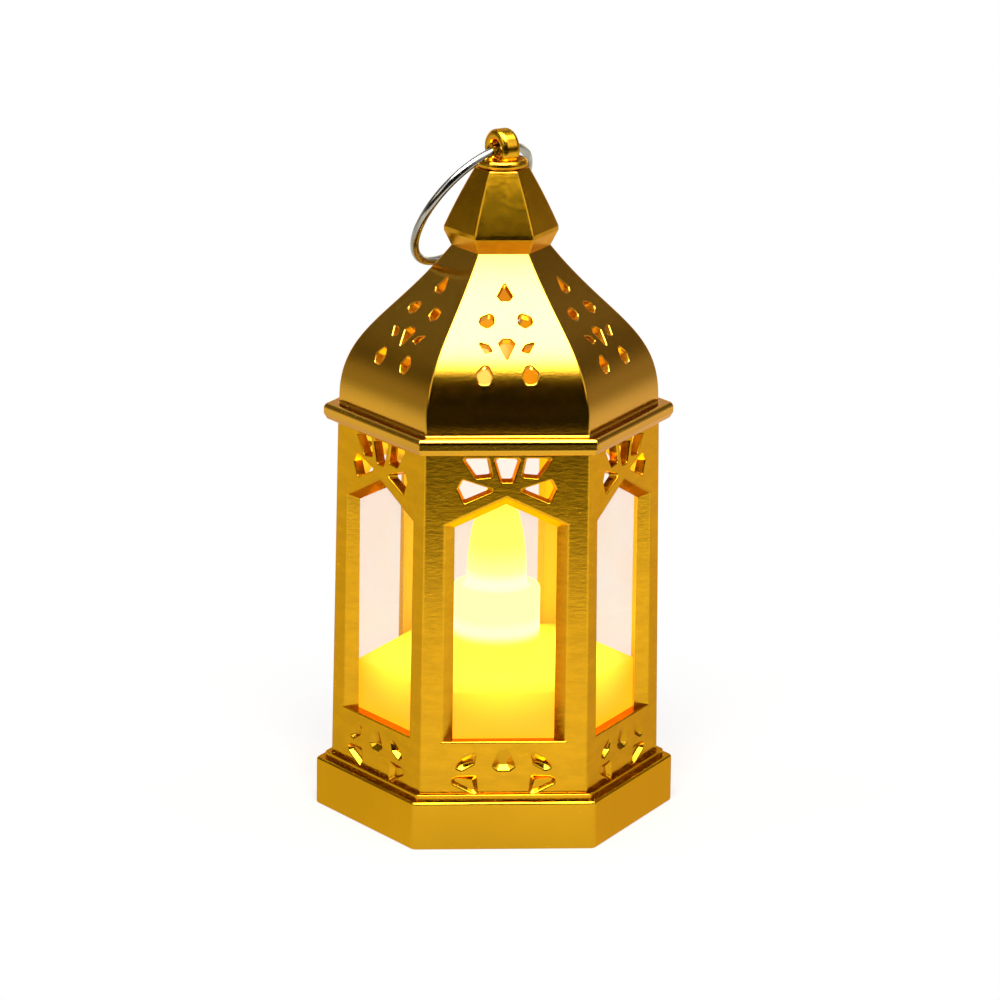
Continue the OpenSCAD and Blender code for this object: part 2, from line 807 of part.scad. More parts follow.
// Frame at the eye's middle: y runs along its hole to the left front face, and x to the back left
module eye_frame() {
    translate([0, 0, eye_z]) rotate([0, 0, 2 * face_turn]) children();
}

// Wire ring through the eye, leaning back on the roof
module hanging_ring() {
    color(steel)
        eye_frame()
            rotate([0, ring_lean, ring_skew])
                translate([ring_r, -ring_slide, 0])
                    rotate_extrude($fn = 96) translate([ring_r, 0]) circle(d = wire_d);
}

base_plinth();
bottom_cover();
cover_screws();
battery_door();
coin_cell();
positive_contact();
negative_contact();
switch_housing();
switch_terminals();
switch_knob();
led_board();
resistor();
led();
red_wire();
black_wire();
link_wire();
candle_body();
flame_tip();
body_frame();
window_pane(0);  // window_pane_1
window_pane(1);  // window_pane_2
window_pane(2);  // window_pane_3
window_pane(3);  // window_pane_4
window_pane(4);  // window_pane_5
window_pane(5);  // window_pane_6
roof_dome();
roof_cap();
hanging_ring();
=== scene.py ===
"""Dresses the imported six-sided lantern: gold shell, LED candle, clear panes and steel ring.

Sizes in the classes are millimetres, as in the part's source, and meshes are made in metres.
"""
import logging
import math
from dataclasses import dataclass, field
from enum import Enum
from typing import Callable, Optional, Sequence

import bpy
import numpy as np
from mathutils import Matrix, Vector
from mathutils.geometry import delaunay_2d_cdt


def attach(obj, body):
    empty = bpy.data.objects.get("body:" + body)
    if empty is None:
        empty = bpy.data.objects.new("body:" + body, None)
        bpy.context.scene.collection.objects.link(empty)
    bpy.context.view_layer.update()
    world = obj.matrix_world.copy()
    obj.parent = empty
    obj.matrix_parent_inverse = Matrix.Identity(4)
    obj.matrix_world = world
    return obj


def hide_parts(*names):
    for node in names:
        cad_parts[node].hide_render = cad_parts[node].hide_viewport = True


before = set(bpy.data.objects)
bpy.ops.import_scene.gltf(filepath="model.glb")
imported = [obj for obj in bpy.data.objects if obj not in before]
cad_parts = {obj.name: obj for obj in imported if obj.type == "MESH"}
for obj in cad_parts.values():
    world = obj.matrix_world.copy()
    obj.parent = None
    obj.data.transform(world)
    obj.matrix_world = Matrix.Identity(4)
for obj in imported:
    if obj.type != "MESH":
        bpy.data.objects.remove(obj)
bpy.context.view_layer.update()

LOG = logging.getLogger("lantern")

Array = np.ndarray
Node = bpy.types.Node
Socket = bpy.types.NodeSocket
Ramp = tuple[float, float, float, float]

SIDES = 6
FACE_TURN = 60.0
SLANT = math.cos(math.pi / SIDES)
HALF_SIDE = math.tan(math.pi / SIDES)
MM = 0.001
# Points that round to the same multiples of WELD are one. SLIVER is the flat left between two arcs that
# would meet, and CLEAR the least gap from a face's own points to an outline. Walls share a normal if the
# cosine of the turn between them is over BLUNT. FINE and TINY stand for nothing in turns and divisions.
WELD = 1e-4
SLIVER = 0.01
CLEAR = 0.3
BLUNT = 0.8
FINE = 1e-6
TINY = 1e-12


class Body(Enum):
    """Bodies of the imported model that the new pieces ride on."""

    LANTERN = "lantern"
    RING = "ring"


@dataclass(frozen=True)
class Levels:
    """Heights above the table that neighbouring sub-assemblies share."""

    floor: float = 5.2
    seat: float = 7.0
    lip: float = 9.9
    head: float = 73.0
    edge: float = 76.3
    roof: float = 77.1
    neck: float = 105.6
    cap: float = 120.0
    eye: float = 123.44


LEVELS = Levels()


def unit(vectors: Array) -> Array:
    """Vectors along the last axis, scaled to length one."""
    length = np.linalg.norm(vectors, axis=-1, keepdims=True)
    return vectors / np.maximum(length, TINY)


def turned(vectors: Array, degrees: float) -> Array:
    """Vectors of two or three numbers, turned about the upright axis."""
    c, s = math.cos(math.radians(degrees)), math.sin(math.radians(degrees))
    out = np.array(vectors, dtype=float)
    out[..., 0] = c * vectors[..., 0] - s * vectors[..., 1]
    out[..., 1] = s * vectors[..., 0] + c * vectors[..., 1]
    return out


@dataclass
class Patch:
    """A stretch of surface: points, the outward normal at each, and triangles."""

    points: Array
    normals: Array
    triangles: Array

    def turned(self, degrees: float) -> "Patch":
        """The same stretch turned about the upright axis."""
        return Patch(turned(self.points, degrees), turned(self.normals, degrees), self.triangles)

    def six(self) -> list["Patch"]:
        """One copy for each side of the lantern."""
        return [self.turned(FACE_TURN * side) for side in range(SIDES)]

    def moved(self, axes: Array, origin: Sequence[float]) -> "Patch":
        """The same stretch in another frame: axes has its directions as rows, and origin is its middle."""
        return Patch(self.points @ axes + np.asarray(origin), self.normals @ axes, self.triangles)


def halved(a: Array, b: Array, c: Array, d: Array) -> Array:
    """Two triangles for each four-sided cell, given the indices of its corners in order."""
    halves = [np.stack(corners, -1).reshape(-1, 3) for corners in ((a, b, c), (a, c, d))]
    return np.concatenate(halves)


def grid_patch(points: Array, normals: Array, closed: bool = False) -> Patch:
    """Splits a grid of rows and columns into triangles.

    Args:
        points: rows by columns by three.
        normals: outward normals of the same shape.
        closed: joins the last column to the first.

    Returns:
        The grid as a patch.
    """
    rows, columns = points.shape[:2]
    index = np.arange(rows * columns).reshape(rows, columns)
    if closed:
        index = np.hstack([index, index[:, :1]])
    triangles = halved(index[:-1, :-1], index[:-1, 1:], index[1:, 1:], index[1:, :-1])
    return Patch(points.reshape(-1, 3), unit(normals).reshape(-1, 3), triangles)


def eased_profile(corners: Sequence[tuple], closed: bool = False, steps: int = 5) -> Array:
    """Rows of a profile of straight runs whose corners are rounded by arcs.

    The profile is walked with its outside on the right. A corner of radius r starts r tan(turn / 2)
    before the corner and swings its normal through the turn. A corner of no radius gives two rows,
    one for each run's normal.

    Args:
        corners: each is (distance from the axis, height), with a radius behind them if it is rounded.
        closed: joins the last corner to the first.
        steps: chords in each arc.

    Returns:
        Rows of (distance, height, normal outwards, normal up).
    """
    corner = np.array([place[:2] for place in corners], dtype=float)
    radii = [place[2] if len(place) > 2 else 0.0 for place in corners]
    ahead = unit(np.roll(corner, -1, axis=0) - corner)
    count = len(corner)
    rows: list[Array] = []
    for i in range(count):
        before, after = ahead[i - 1], ahead[i]
        side = [np.array([run[1], -run[0]]) for run in (before, after)]
        if not closed and i in (0, count - 1):
            rows.append(np.concatenate([corner[i], side[1] if i == 0 else side[0]]))
            continue
        swing = math.atan2(before[0] * after[1] - before[1] * after[0], before @ after)
        if radii[i] <= 0 or abs(swing) < FINE:
            rows.extend(np.concatenate([corner[i], normal]) for normal in side)
            continue
        bulge = math.copysign(1.0, swing)
        start = corner[i] - before * radii[i] * math.tan(abs(swing) / 2)
        middle = start - bulge * radii[i] * side[0]
        for share in np.linspace(0, 1, steps + 1):
            normal = turned(side[0], math.degrees(swing) * share)
            rows.append(np.concatenate([middle + bulge * radii[i] * normal, normal]))
    if closed:
        rows.append(rows[0])
    return np.array(rows)


def cubic(control: Array, t: Array) -> Array:
    """Points of a cubic curve at shares t of it: a weighted sum of its four control points."""
    t = np.asarray(t, dtype=float)[:, None]
    weights = ((1 - t) ** 3, 3 * t * (1 - t) ** 2, 3 * t * t * (1 - t), t ** 3)
    return sum(weight * point for weight, point in zip(weights, control))


def cubic_heading(control: Array, t: Array) -> Array:
    """Direction of that curve: a weighted sum of the steps between its control points."""
    t = np.asarray(t, dtype=float)[:, None]
    weights = ((1 - t) ** 2, 2 * t * (1 - t), t * t)
    return unit(sum(weight * step for weight, step in zip(weights, np.diff(control, axis=0))))


def hex_rows(profile: Array, ease: Array, faces: int, corner: int) -> tuple[Array, Array]:
    """One side and one corner of a six-sided sweep of a profile.

    A row at distance d from the axis has its corners at d tan 30 along the side. Each corner is cut
    back by ease and closed by a quadratic curve whose middle control point is the sharp corner.

    Args:
        profile: rows of (distance, height, normal outwards, normal up).
        ease: how far each row's corners are cut back.
        faces: columns on the flat side, or 0 for the corner alone.
        corner: columns of the corner's curve.

    Returns:
        Points and normals, each rows by columns by three.
    """
    distance, height = profile[:, :1], profile[:, 1:2]
    half = distance * HALF_SIDE
    cut = np.minimum(ease[:, None], half)
    blend = np.linspace(0, 1, corner + 2)[None, :]
    if faces:
        blend = blend[:, 1:-1]
    one = np.ones_like(blend)
    flat_end = np.concatenate([half - cut, -distance], 1)
    tip = np.concatenate([half, -distance], 1)
    next_end = turned(np.concatenate([cut - half, -distance], 1), FACE_TURN)
    weights = [(1 - blend) ** 2, 2 * blend * (1 - blend), blend ** 2]
    ground = sum(w[..., None] * p[:, None] for w, p in zip(weights, (flat_end, tip, next_end)))
    here, there = np.array([0.0, -1.0]), turned(np.array([0.0, -1.0]), FACE_TURN)
    outwards = unit((1 - blend)[..., None] * here + blend[..., None] * there)
    outwards = np.broadcast_to(outwards, ground.shape)
    if faces:
        share = np.linspace(-1, 1, faces)[None, :]
        flat = np.stack([share * (half - cut), -distance * np.ones_like(share)], -1)
        ground = np.concatenate([flat, ground], 1)
        outwards = np.concatenate([np.broadcast_to(here, flat.shape), outwards], 1)
        one = np.ones((1, ground.shape[1]))
    points = np.concatenate([ground, (height * one)[..., None]], -1)
    normals = np.concatenate([outwards * profile[:, 2, None, None], (profile[:, 3:4] * one)[..., None]], -1)
    return points, unit(normals)


def hex_sweep(profile: Array, ease: float | Array, faces: int = 2, corner: int = 4) -> Patch:
    """A profile carried round a hexagon with eased corners, as a closed grid."""
    points, normals = hex_rows(profile, np.broadcast_to(ease, len(profile)), faces, corner)
    turns = [FACE_TURN * side for side in range(SIDES)]
    points = np.concatenate([turned(points, turn) for turn in turns], 1)
    normals = np.concatenate([turned(normals, turn) for turn in turns], 1)
    return grid_patch(points, normals, closed=True)


def hex_corners(profile: Array, ease: float | Array, corner: int = 4) -> list[Patch]:
    """Only the eased corners of a six-sided sweep, for walls whose flats are pierced."""
    points, normals = hex_rows(profile, np.broadcast_to(ease, len(profile)), 0, corner)
    return grid_patch(points, normals).six()


def revolved(profile: Array, columns: int = 72, angles: Optional[Array] = None) -> Patch:
    """A profile turned about the upright axis: each row is a circle of its distance."""
    turn = np.linspace(0, 2 * math.pi, columns, endpoint=False) if angles is None else angles
    c, s = np.cos(turn)[None, :], np.sin(turn)[None, :]
    level = np.ones_like(c)
    points = np.stack([profile[:, :1] * c, profile[:, :1] * s, profile[:, 1:2] * level], -1)
    normals = np.stack([profile[:, 2:3] * c, profile[:, 2:3] * s, profile[:, 3:4] * level], -1)
    return grid_patch(points, normals, closed=True)


def eased_outline(points: Sequence[tuple], radius: float, chords: int = 5) -> Array:
    """Outline whose corners are arcs between the two points where the sides touch the circle.

    Args:
        points: corners of the outline, in order.
        radius: radius of every corner.
        chords: chords in each arc.

    Returns:
        The rounded outline, anticlockwise.
    """
    p = np.asarray(points, dtype=float)
    a, b = unit(np.roll(p, 1, axis=0) - p), unit(np.roll(p, -1, axis=0) - p)
    half = np.arccos(np.clip((a * b).sum(1), -1, 1))[:, None] / 2
    middle = p + unit(a + b) * radius / np.sin(half)
    start = p + a * radius / np.tan(half) - middle
    end = p + b * radius / np.tan(half) - middle
    share = np.linspace(0, 1, chords + 1)[None, :, None]
    arcs = middle[:, None] + radius * unit((1 - share) * start[:, None] + share * end[:, None])
    return anticlockwise(arcs.reshape(-1, 2))


def anticlockwise(loop: Array) -> Array:
    """The loop, turned round if it runs clockwise."""
    after = np.roll(loop, -1, axis=0)
    area = (loop[:, 0] * after[:, 1] - loop[:, 1] * after[:, 0]).sum()
    return loop if area > 0 else loop[::-1]


def mirrored(points: Sequence[tuple]) -> list[tuple]:
    """The outline on the other side of the panel's middle."""
    return [(-x, y) for x, y in points]


def finer(loop: Array, step: float) -> Array:
    """The loop with its long sides divided into chords of about one step."""
    after = np.roll(loop, -1, axis=0)
    count = np.maximum(np.ceil(np.linalg.norm(after - loop, axis=1) / step).astype(int), 1)
    which = np.repeat(np.arange(len(loop)), count)
    first = np.repeat(np.cumsum(count) - count, count)
    share = ((np.arange(len(which)) - first) / count[which])[:, None]
    return loop[which] * (1 - share) + after[which] * share


def mitres(loop: Array) -> Array:
    """Each corner's step out of an anticlockwise loop that shifts both its sides outwards by one."""
    side = unit(np.roll(loop, -1, axis=0) - loop)
    into = np.stack([-side[:, 1], side[:, 0]], 1)
    before = np.roll(into, 1, axis=0)
    return -(into + before) / (1 + (into * before).sum(1, keepdims=True))


def within(points: Array, loop: Array) -> Array:
    """Whether each point is inside the loop, by counting the sides that a level ray crosses."""
    a, b = loop[None], np.roll(loop, -1, axis=0)[None]
    x, y = points[:, None, 0], points[:, None, 1]
    spans = (a[..., 1] > y) != (b[..., 1] > y)
    rise = np.where(np.abs(b[..., 1] - a[..., 1]) < TINY, TINY, b[..., 1] - a[..., 1])
    crossing = a[..., 0] + (y - a[..., 1]) / rise * (b[..., 0] - a[..., 0])
    return (spans & (x < crossing)).sum(1) % 2 == 1


def shrunk(outline: Array, share: float | tuple, drop: float = 0.0, lean: float = 0.0) -> Array:
    """The outline drawn in about its middle to a share of its width and height, and lowered by drop.

    Width, height and drop are taken along axes that lean by an angle in degrees.
    """
    middle, tilt = outline.mean(0), math.radians(lean)
    axes = np.array([[math.cos(tilt), math.sin(tilt)], [-math.sin(tilt), math.cos(tilt)]])
    own = (outline - middle) @ axes.T
    return middle + (np.asarray(share) * own - np.array([0.0, drop])) @ axes


@dataclass
class Hole:
    """An opening or a sunk shape in a panel.

    front and back are its outlines at the panel's face and at its far end, in (along, up), and out
    is the far end's place in or behind the panel, as a negative distance at each corner.
    """

    front: Array
    back: Array
    out: Array
    edge: float
    blind: bool = False

    def rim(self) -> Array:
        """Outline of the face round the rounded edge."""
        return self.front + self.edge * mitres(self.front)


class Panel:
    """One flat or bowed side of a wall, as a map from (along, up, out) into space.

    A point is at along on the level line of its height, at the profile's distance from the axis,
    moved by out square to the profile. The panel faces the front and is copied to the other sides.
    """

    def __init__(self, profile: Callable[[Array], tuple[Array, Array, Array, Array]]) -> None:
        """Keeps the profile: up gives distance, height, and the normal's two parts."""
        self.profile = profile

    def place(self, local: Array) -> Array:
        """Points in space for rows of (along, up, out)."""
        distance, height, outwards, upwards = self.profile(local[:, 1])
        return np.stack([local[:, 0], -(distance + local[:, 2] * outwards),
                         height + local[:, 2] * upwards], 1)

    def aim(self, local: Array, direction: Array) -> Array:
        """Directions in space for rows of (along, up, out) directions at those points."""
        _, _, outwards, upwards = self.profile(local[:, 1])
        up = np.stack([np.zeros_like(upwards), upwards, outwards], 1)
        out = np.stack([np.zeros_like(upwards), -outwards, upwards], 1)
        return direction[:, 1:2] * up + direction[:, 2:3] * out + direction[:, :1] * np.array([1.0, 0, 0])

    def filled(self, border: Array, inner: Array, loops: Sequence[Array],
               out: Callable[[Array], Array], facing: float) -> Patch:
        """The face inside a border and outside its loops, as a constrained triangulation.

        Args:
            border: corners of the face, in (along, up).
            inner: further points on the face, which may lie in the loops.
            loops: outlines to leave open.
            out: the face's place for heights on it.
            facing: 1 if the face looks outwards, -1 inwards.

        Returns:
            The face as a patch.
        """
        keep = np.ones(len(inner), dtype=bool)
        for loop in loops:
            gap = np.linalg.norm(inner[:, None] - loop[None], axis=2).min(1) if len(inner) else keep
            keep &= ~within(inner, loop) & (gap > CLEAR)
        rings = [border, *loops]
        starts = np.cumsum([0] + [len(ring) for ring in rings])
        edges = [(s + k, s + (k + 1) % len(ring)) for s, ring in zip(starts, rings) for k in range(len(ring))]
        flat = np.concatenate([*rings, inner[keep]])
        made = delaunay_2d_cdt([Vector(p) for p in flat.tolist()], edges, [], 0, FINE)
        origin = np.array([ids[0] for ids in made[3]])
        triangles = origin[np.array(made[2])]
        middle = flat[triangles].mean(1)
        shown = within(middle, border)
        for loop in loops:
            shown &= ~within(middle, loop)
        local = np.column_stack([flat, out(flat[:, 1])])
        normals = self.aim(local, np.tile([0.0, 0.0, facing], (len(flat), 1)))
        return Patch(self.place(local), normals, triangles[shown])

    def lined(self, hole: Hole, steps: int = 4) -> list[Patch]:
        """The rounded edge, the walls and the floor of a hole.

        The edge is a quadratic curve from the face, through the sharp edge, onto the wall. Walls
        that meet at a blunt angle share a normal, and others keep their own.

        Args:
            hole: the opening.
            steps: chords across the edge.

        Returns:
            Its patches.
        """
        count = len(hole.front)
        face = np.column_stack([hole.front, np.zeros(count)])
        far = np.column_stack([hole.back, hole.out])
        wall = unit(far - face)
        side = np.roll(face, -1, axis=0) - face
        square = unit(np.cross(side, wall))
        before = np.roll(square, 1, axis=0)
        blunt = ((square * before).sum(1) > BLUNT)[:, None]
        shared = np.where(blunt, unit(square + before), 0)
        starts = np.where(blunt, shared, square)
        ends = np.where(np.roll(blunt, -1, axis=0), np.roll(shared, -1, axis=0), square)
        normal = np.stack([starts, ends], 1)
        pair = np.stack([np.arange(count), (np.arange(count) + 1) % count], 1)
        outer = np.column_stack([hole.rim(), np.zeros(count)])
        inner = face + hole.edge * wall
        q = np.linspace(0, 1, steps + 1)[:, None, None, None]
        rows = (1 - q) ** 2 * outer[pair] + 2 * q * (1 - q) * face[pair] + q ** 2 * inner[pair]
        rows = np.concatenate([rows, far[pair][None]])
        aims = (1 - q) * np.array([0.0, 0.0, 1.0]) + q * normal
        aims = np.concatenate([aims, normal[None]])
        patches = [self._strips(rows, aims)]
        if hole.blind:
            patches.append(self.filled(hole.back, np.zeros((0, 2)), [],
                                       lambda up: np.full_like(up, hole.out[0]), 1.0))
        return patches

    def linings(self, holes: Sequence[Hole]) -> list[Patch]:
        """The edges, walls and floors of the holes on all six sides."""
        return [copy for hole in holes for patch in self.lined(hole) for copy in patch.six()]

    def _strips(self, rows: Array, aims: Array) -> Patch:
        """Strips between rows of side pairs: rows by sides by two ends by three."""
        count, sides = rows.shape[:2]
        local = rows.reshape(-1, 3)
        points, normals = self.place(local), self.aim(local, unit(aims).reshape(-1, 3))
        index = np.arange(count * sides * 2).reshape(count, sides, 2)
        triangles = halved(index[:-1, :, 0], index[:-1, :, 1], index[1:, :, 1], index[1:, :, 0])
        return Patch(points, normals, triangles)


def shown(name: str, data: bpy.types.ID) -> bpy.types.Object:
    """A new object in the scene that shows a mesh, a lamp or a camera."""
    made = bpy.data.objects.new(name, data)
    bpy.context.scene.collection.objects.link(made)
    return made


def make_piece(name: str, patches: Sequence[Patch], body: Body, finish: "Finish",
               nodes: Sequence[str]) -> None:
    """Welds patches into one mesh piece that keeps their normals, and hands it to the frame.

    Args:
        name: name of the piece.
        patches: its surface, in millimetres.
        body: the body that it rides on.
        finish: what it is dressed in.
        nodes: the CAD nodes that it stands for.
    """
    starts = np.cumsum([0] + [len(patch.points) for patch in patches])
    points = np.concatenate([patch.points for patch in patches])
    normals = np.concatenate([patch.normals for patch in patches])
    triangles = np.concatenate([patch.triangles + s for patch, s in zip(patches, starts)])
    corner = points[triangles]
    own = np.cross(corner[:, 1] - corner[:, 0], corner[:, 2] - corner[:, 0])
    behind = (own * normals[triangles].sum(1)).sum(1) < 0
    triangles[behind] = triangles[behind][:, ::-1]
    _, first, places = np.unique(np.round(points / WELD).astype(np.int64), axis=0,
                                 return_index=True, return_inverse=True)
    welded = places.reshape(-1)[triangles]
    whole = (welded != np.roll(welded, 1, axis=1)).all(1)
    mesh = bpy.data.meshes.new(name)
    mesh.from_pydata((points[first] * MM).tolist(), [], welded[whole].tolist())
    mesh.shade_smooth()
    mesh.normals_split_custom_set(normals[triangles[whole]].reshape(-1, 3).tolist())
    mesh.update()
    piece = shown(name, mesh)
    mesh.materials.append(finish.material())
    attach(piece, body.value)
    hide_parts(*nodes)
    LOG.info("%s: %d triangles on %s", name, len(mesh.polygons), body.value)


def dress_node(name: str, finish: "Finish") -> None:
    """Gives a CAD node that stays in view its finish."""
    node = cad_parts[name]
    node.data.materials.clear()
    node.data.materials.append(finish.material())
    LOG.info("%s: dressed in %s", name, finish.name)


class Tree:
    """Short ways to place and link shader nodes in one node tree."""

    def __init__(self, tree: bpy.types.NodeTree) -> None:
        """Keeps the tree."""
        self.tree = tree

    def add(self, kind: str, *values: object, **settings: object) -> Node:
        """A node of that kind: settings are its properties, and values go into its first inputs."""
        node = self.tree.nodes.new(kind)
        for key, value in settings.items():
            setattr(node, key, value)
        for socket, value in zip(node.inputs, values):
            self.feed(socket, value)
        return node

    def feed(self, socket: Socket, value: object) -> None:
        """Links an output to an input, or sets the input's own value."""
        if isinstance(value, bpy.types.NodeSocket):
            self.tree.links.new(value, socket)
        else:
            socket.default_value = value

    def set(self, node: Node, **values: object) -> Node:
        """Feeds inputs by name, with underscores for spaces."""
        for key, value in values.items():
            self.feed(node.inputs[key.replace("_", " ")], value)
        return node

    def math(self, operation: str, *values: object) -> Socket:
        """The result of a math node on up to three numbers or sockets."""
        return self.add("ShaderNodeMath", *values, operation=operation).outputs[0]

    def product(self, first: object, *others: object) -> Socket:
        """The product of two or more numbers or sockets."""
        result = first
        for other in others:
            result = self.math("MULTIPLY", result, other)
        return result

    def vector(self, operation: str, *values: object) -> Node:
        """A vector math node on vectors or sockets."""
        return self.add("ShaderNodeVectorMath", *values, operation=operation)

    def blend(self, share: object, first: object, second: object) -> Socket:
        """A colour between two, by a share from 0 to 1."""
        node = self.add("ShaderNodeMix", share, data_type="RGBA")
        self.feed(node.inputs[6], first)
        self.feed(node.inputs[7], second)
        return node.outputs[2]

    def spread(self, value: object, low: float, high: float, to_low: float = 0.0,
               to_high: float = 1.0) -> Socket:
        """A value carried smoothly from one range to another, and held at its ends."""
        node = self.add("ShaderNodeMapRange", value, low, high, to_low, to_high,
                        interpolation_type="SMOOTHSTEP")
        return node.outputs[0]

    def either(self, share: Socket, first: Node, second: Node) -> Node:
        """One shader or the other, by a share from 0 to 1."""
        return self.add("ShaderNodeMixShader", share, first.outputs[0], second.outputs[0])


def grain_group() -> bpy.types.NodeTree:
    """Shared group of a moulded or plated surface: fine grain, and broad clouds, both from 0 to 1."""
    name, roughness, noise_range = "surface_grain", 0.55, (0.32, 0.68)
    if name in bpy.data.node_groups:
        return bpy.data.node_groups[name]
    group = bpy.data.node_groups.new(name, "ShaderNodeTree")
    for label, way in (("Place", "INPUT"), ("Grain per Metre", "INPUT"), ("Clouds per Metre", "INPUT"),
                       ("Grain", "OUTPUT"), ("Clouds", "OUTPUT")):
        kind = "NodeSocketVector" if label == "Place" else "NodeSocketFloat"
        group.interface.new_socket(label, in_out=way, socket_type=kind)
    tree = Tree(group)
    given, made = tree.add("NodeGroupInput"), tree.add("NodeGroupOutput")
    for result, detail in (("Grain", 2.0), ("Clouds", 4.0)):
        noise = tree.set(tree.add("ShaderNodeTexNoise"), Vector=given.outputs["Place"],
                         Scale=given.outputs[f"{result} per Metre"], Detail=detail, Roughness=roughness)
        tree.feed(made.inputs[result], tree.spread(noise.outputs["Fac"], *noise_range))
    return group


@dataclass
class Skin:
    """A material's nodes while a finish links them up.

    place gives object coordinates, grain a fine pattern and clouds a broad one, both from 0 to 1.
    """

    tree: Tree
    shader: Node
    place: Socket
    grain: Socket
    clouds: Socket


@dataclass(frozen=True)
class Finish:
    """A plain moulded surface: one colour with soft clouds, and a grain in its gloss and its relief.

    Colours are linear. Grain and clouds are counted per metre, relief is in metres, and squash is how
    much shorter the grain is upright than level.
    """

    name: str
    colour: tuple
    shade: float = 0.8
    roughness: float = 0.5
    spread: float = 0.1
    metallic: float = 0.0
    coat: float = 0.0
    coat_roughness: float = 0.12
    grain: float = 2500.0
    clouds: float = 60.0
    relief: float = 2e-5
    squash: float = 1.0
    specular: float = 0.5
    tint: tuple = (1.0, 1.0, 1.0)

    def material(self) -> bpy.types.Material:
        """The finish's material, made at its first use."""
        title = f"{self.name}_finish"
        if title in bpy.data.materials:
            return bpy.data.materials[title]
        material = bpy.data.materials.new(title)
        material.use_nodes = True
        tree = Tree(material.node_tree)
        place = tree.add("ShaderNodeTexCoord").outputs["Object"]
        pressed = tree.vector("MULTIPLY", place, (1.0, 1.0, self.squash))
        pattern = tree.add("ShaderNodeGroup", node_tree=grain_group())
        tree.set(pattern, Place=pressed.outputs[0], Grain_per_Metre=self.grain, Clouds_per_Metre=self.clouds)
        self.dress(Skin(tree, material.node_tree.nodes["Principled BSDF"], place,
                        pattern.outputs["Grain"], pattern.outputs["Clouds"]))
        return material

    def dress(self, skin: Skin) -> None:
        """Links the colour, the gloss and the relief to the shader."""
        tree = skin.tree
        dark = [self.shade * part for part in self.colour]
        colour = tree.blend(skin.clouds, (*dark, 1.0), (*self.colour, 1.0))
        gloss = tree.math("MULTIPLY_ADD", skin.grain, self.spread, self.roughness - self.spread / 2)
        bump = tree.set(tree.add("ShaderNodeBump"), Strength=1.0, Distance=self.relief, Height=skin.grain)
        tree.set(skin.shader, Base_Color=colour, Roughness=gloss, Metallic=self.metallic,
                 Coat_Weight=self.coat, Coat_Roughness=self.coat_roughness,
                 Specular_IOR_Level=self.specular, Specular_Tint=(*self.tint, 1.0), Normal=bump.outputs[0])


@dataclass(frozen=True)
class TintedInside(Finish):
    """A plated surface whose inner side, facing the lantern's axis, has its own colour and a duller gloss.

    facing is the cosine between the normal and the way out from the axis under which a face is inner,
    inside_tint is the inner colour, dull is the inner roughness, and metal_loss is how much less metallic
    the inner side is. On the wall the inner colour is a bright yellow of painted candle light.
    """

    inside_tint: tuple = (0.45, 0.2, 0.01)
    dull: float = 0.55
    facing: float = 0.0
    metal_loss: float = 0.0

    def dress(self, skin: Skin) -> None:
        """Gives the faces that point at the axis the inner colour, a duller gloss and less metal."""
        super().dress(skin)
        tree, inputs = skin.tree, skin.shader.inputs
        plated, gloss = (inputs[label].links[0].from_socket for label in ("Base Color", "Roughness"))
        level = tree.vector("MULTIPLY", skin.place, (1.0, 1.0, 0.0)).outputs[0]
        out = tree.vector("NORMALIZE", level).outputs[0]
        normal = tree.add("ShaderNodeTexCoord").outputs["Normal"]
        outwards = tree.vector("DOT_PRODUCT", out, normal).outputs["Value"]
        inside = tree.math("LESS_THAN", outwards, self.facing)
        # Painted candle light: on the wall the inner faces take a bright yellow in place of the gold.
        tree.set(skin.shader, Base_Color=tree.blend(inside, plated, (*self.inside_tint, 1.0)),
                 Roughness=tree.math("MAXIMUM", gloss, tree.math("MULTIPLY", inside, self.dull)))
        if self.metal_loss:
            lost_metal = tree.math("MULTIPLY", inside, self.metal_loss)
            tree.set(skin.shader, Metallic=tree.math("SUBTRACT", self.metallic, lost_metal))


@dataclass(frozen=True)
class Glow(Finish):
    """A wax-coloured surface lit from within: palest at the lamp, and deeper in colour away from it.

    near, middle and far are linear colours. The four steps are distances from the lamp in metres: near
    turns into middle between the first two, and middle into far between the last two. A hot belt shows
    at the height of the lamp.
    """

    near: tuple = (0.95, 1.0, 0.26)
    middle: tuple = (0.95, 1.0, 0.03)
    far: tuple = (0.75, 0.27, 0.0015)
    hot: tuple = (1.0, 1.0, 0.5)
    lamp: tuple = (0.0, 0.0, 0.04)
    steps: tuple = (0.0088, 0.0108, 0.018, 0.03)
    strength: float = 2.2
    hot_level: float = 0.0344
    hot_reach: float = 0.0025
    hot_share: float = 0.6

    def dress(self, skin: Skin) -> None:
        """Adds the glow to the plain surface, by distance from the lamp."""
        super().dress(skin)
        tree = skin.tree
        distance = tree.vector("DISTANCE", skin.place, self.lamp).outputs["Value"]
        inner = tree.blend(tree.spread(distance, *self.steps[:2]), (*self.near, 1.0), (*self.middle, 1.0))
        colour = tree.blend(tree.spread(distance, *self.steps[2:]), inner, (*self.far, 1.0))
        height = tree.add("ShaderNodeSeparateXYZ", skin.place).outputs["Z"]
        rise = tree.math("ABSOLUTE", tree.math("SUBTRACT", height, self.hot_level))
        belt = tree.spread(rise, 0.0, self.hot_reach, self.hot_share, 0.0)
        tree.set(skin.shader, Emission_Color=tree.blend(belt, colour, (*self.hot, 1.0)),
                 Emission_Strength=self.strength)


@dataclass(frozen=True)
class ClearSheet(Finish):
    """Thin clear sheet: mostly see-through, with a faint warm cast and fine clouds in its clarity."""

    alpha: float = 0.095
    cloudiness: float = 0.03

    def dress(self, skin: Skin) -> None:
        """Adds the see-through share to the plain surface."""
        super().dress(skin)
        clarity = skin.tree.math("MULTIPLY_ADD", skin.clouds, self.cloudiness, self.alpha)
        skin.tree.set(skin.shader, Alpha=clarity)


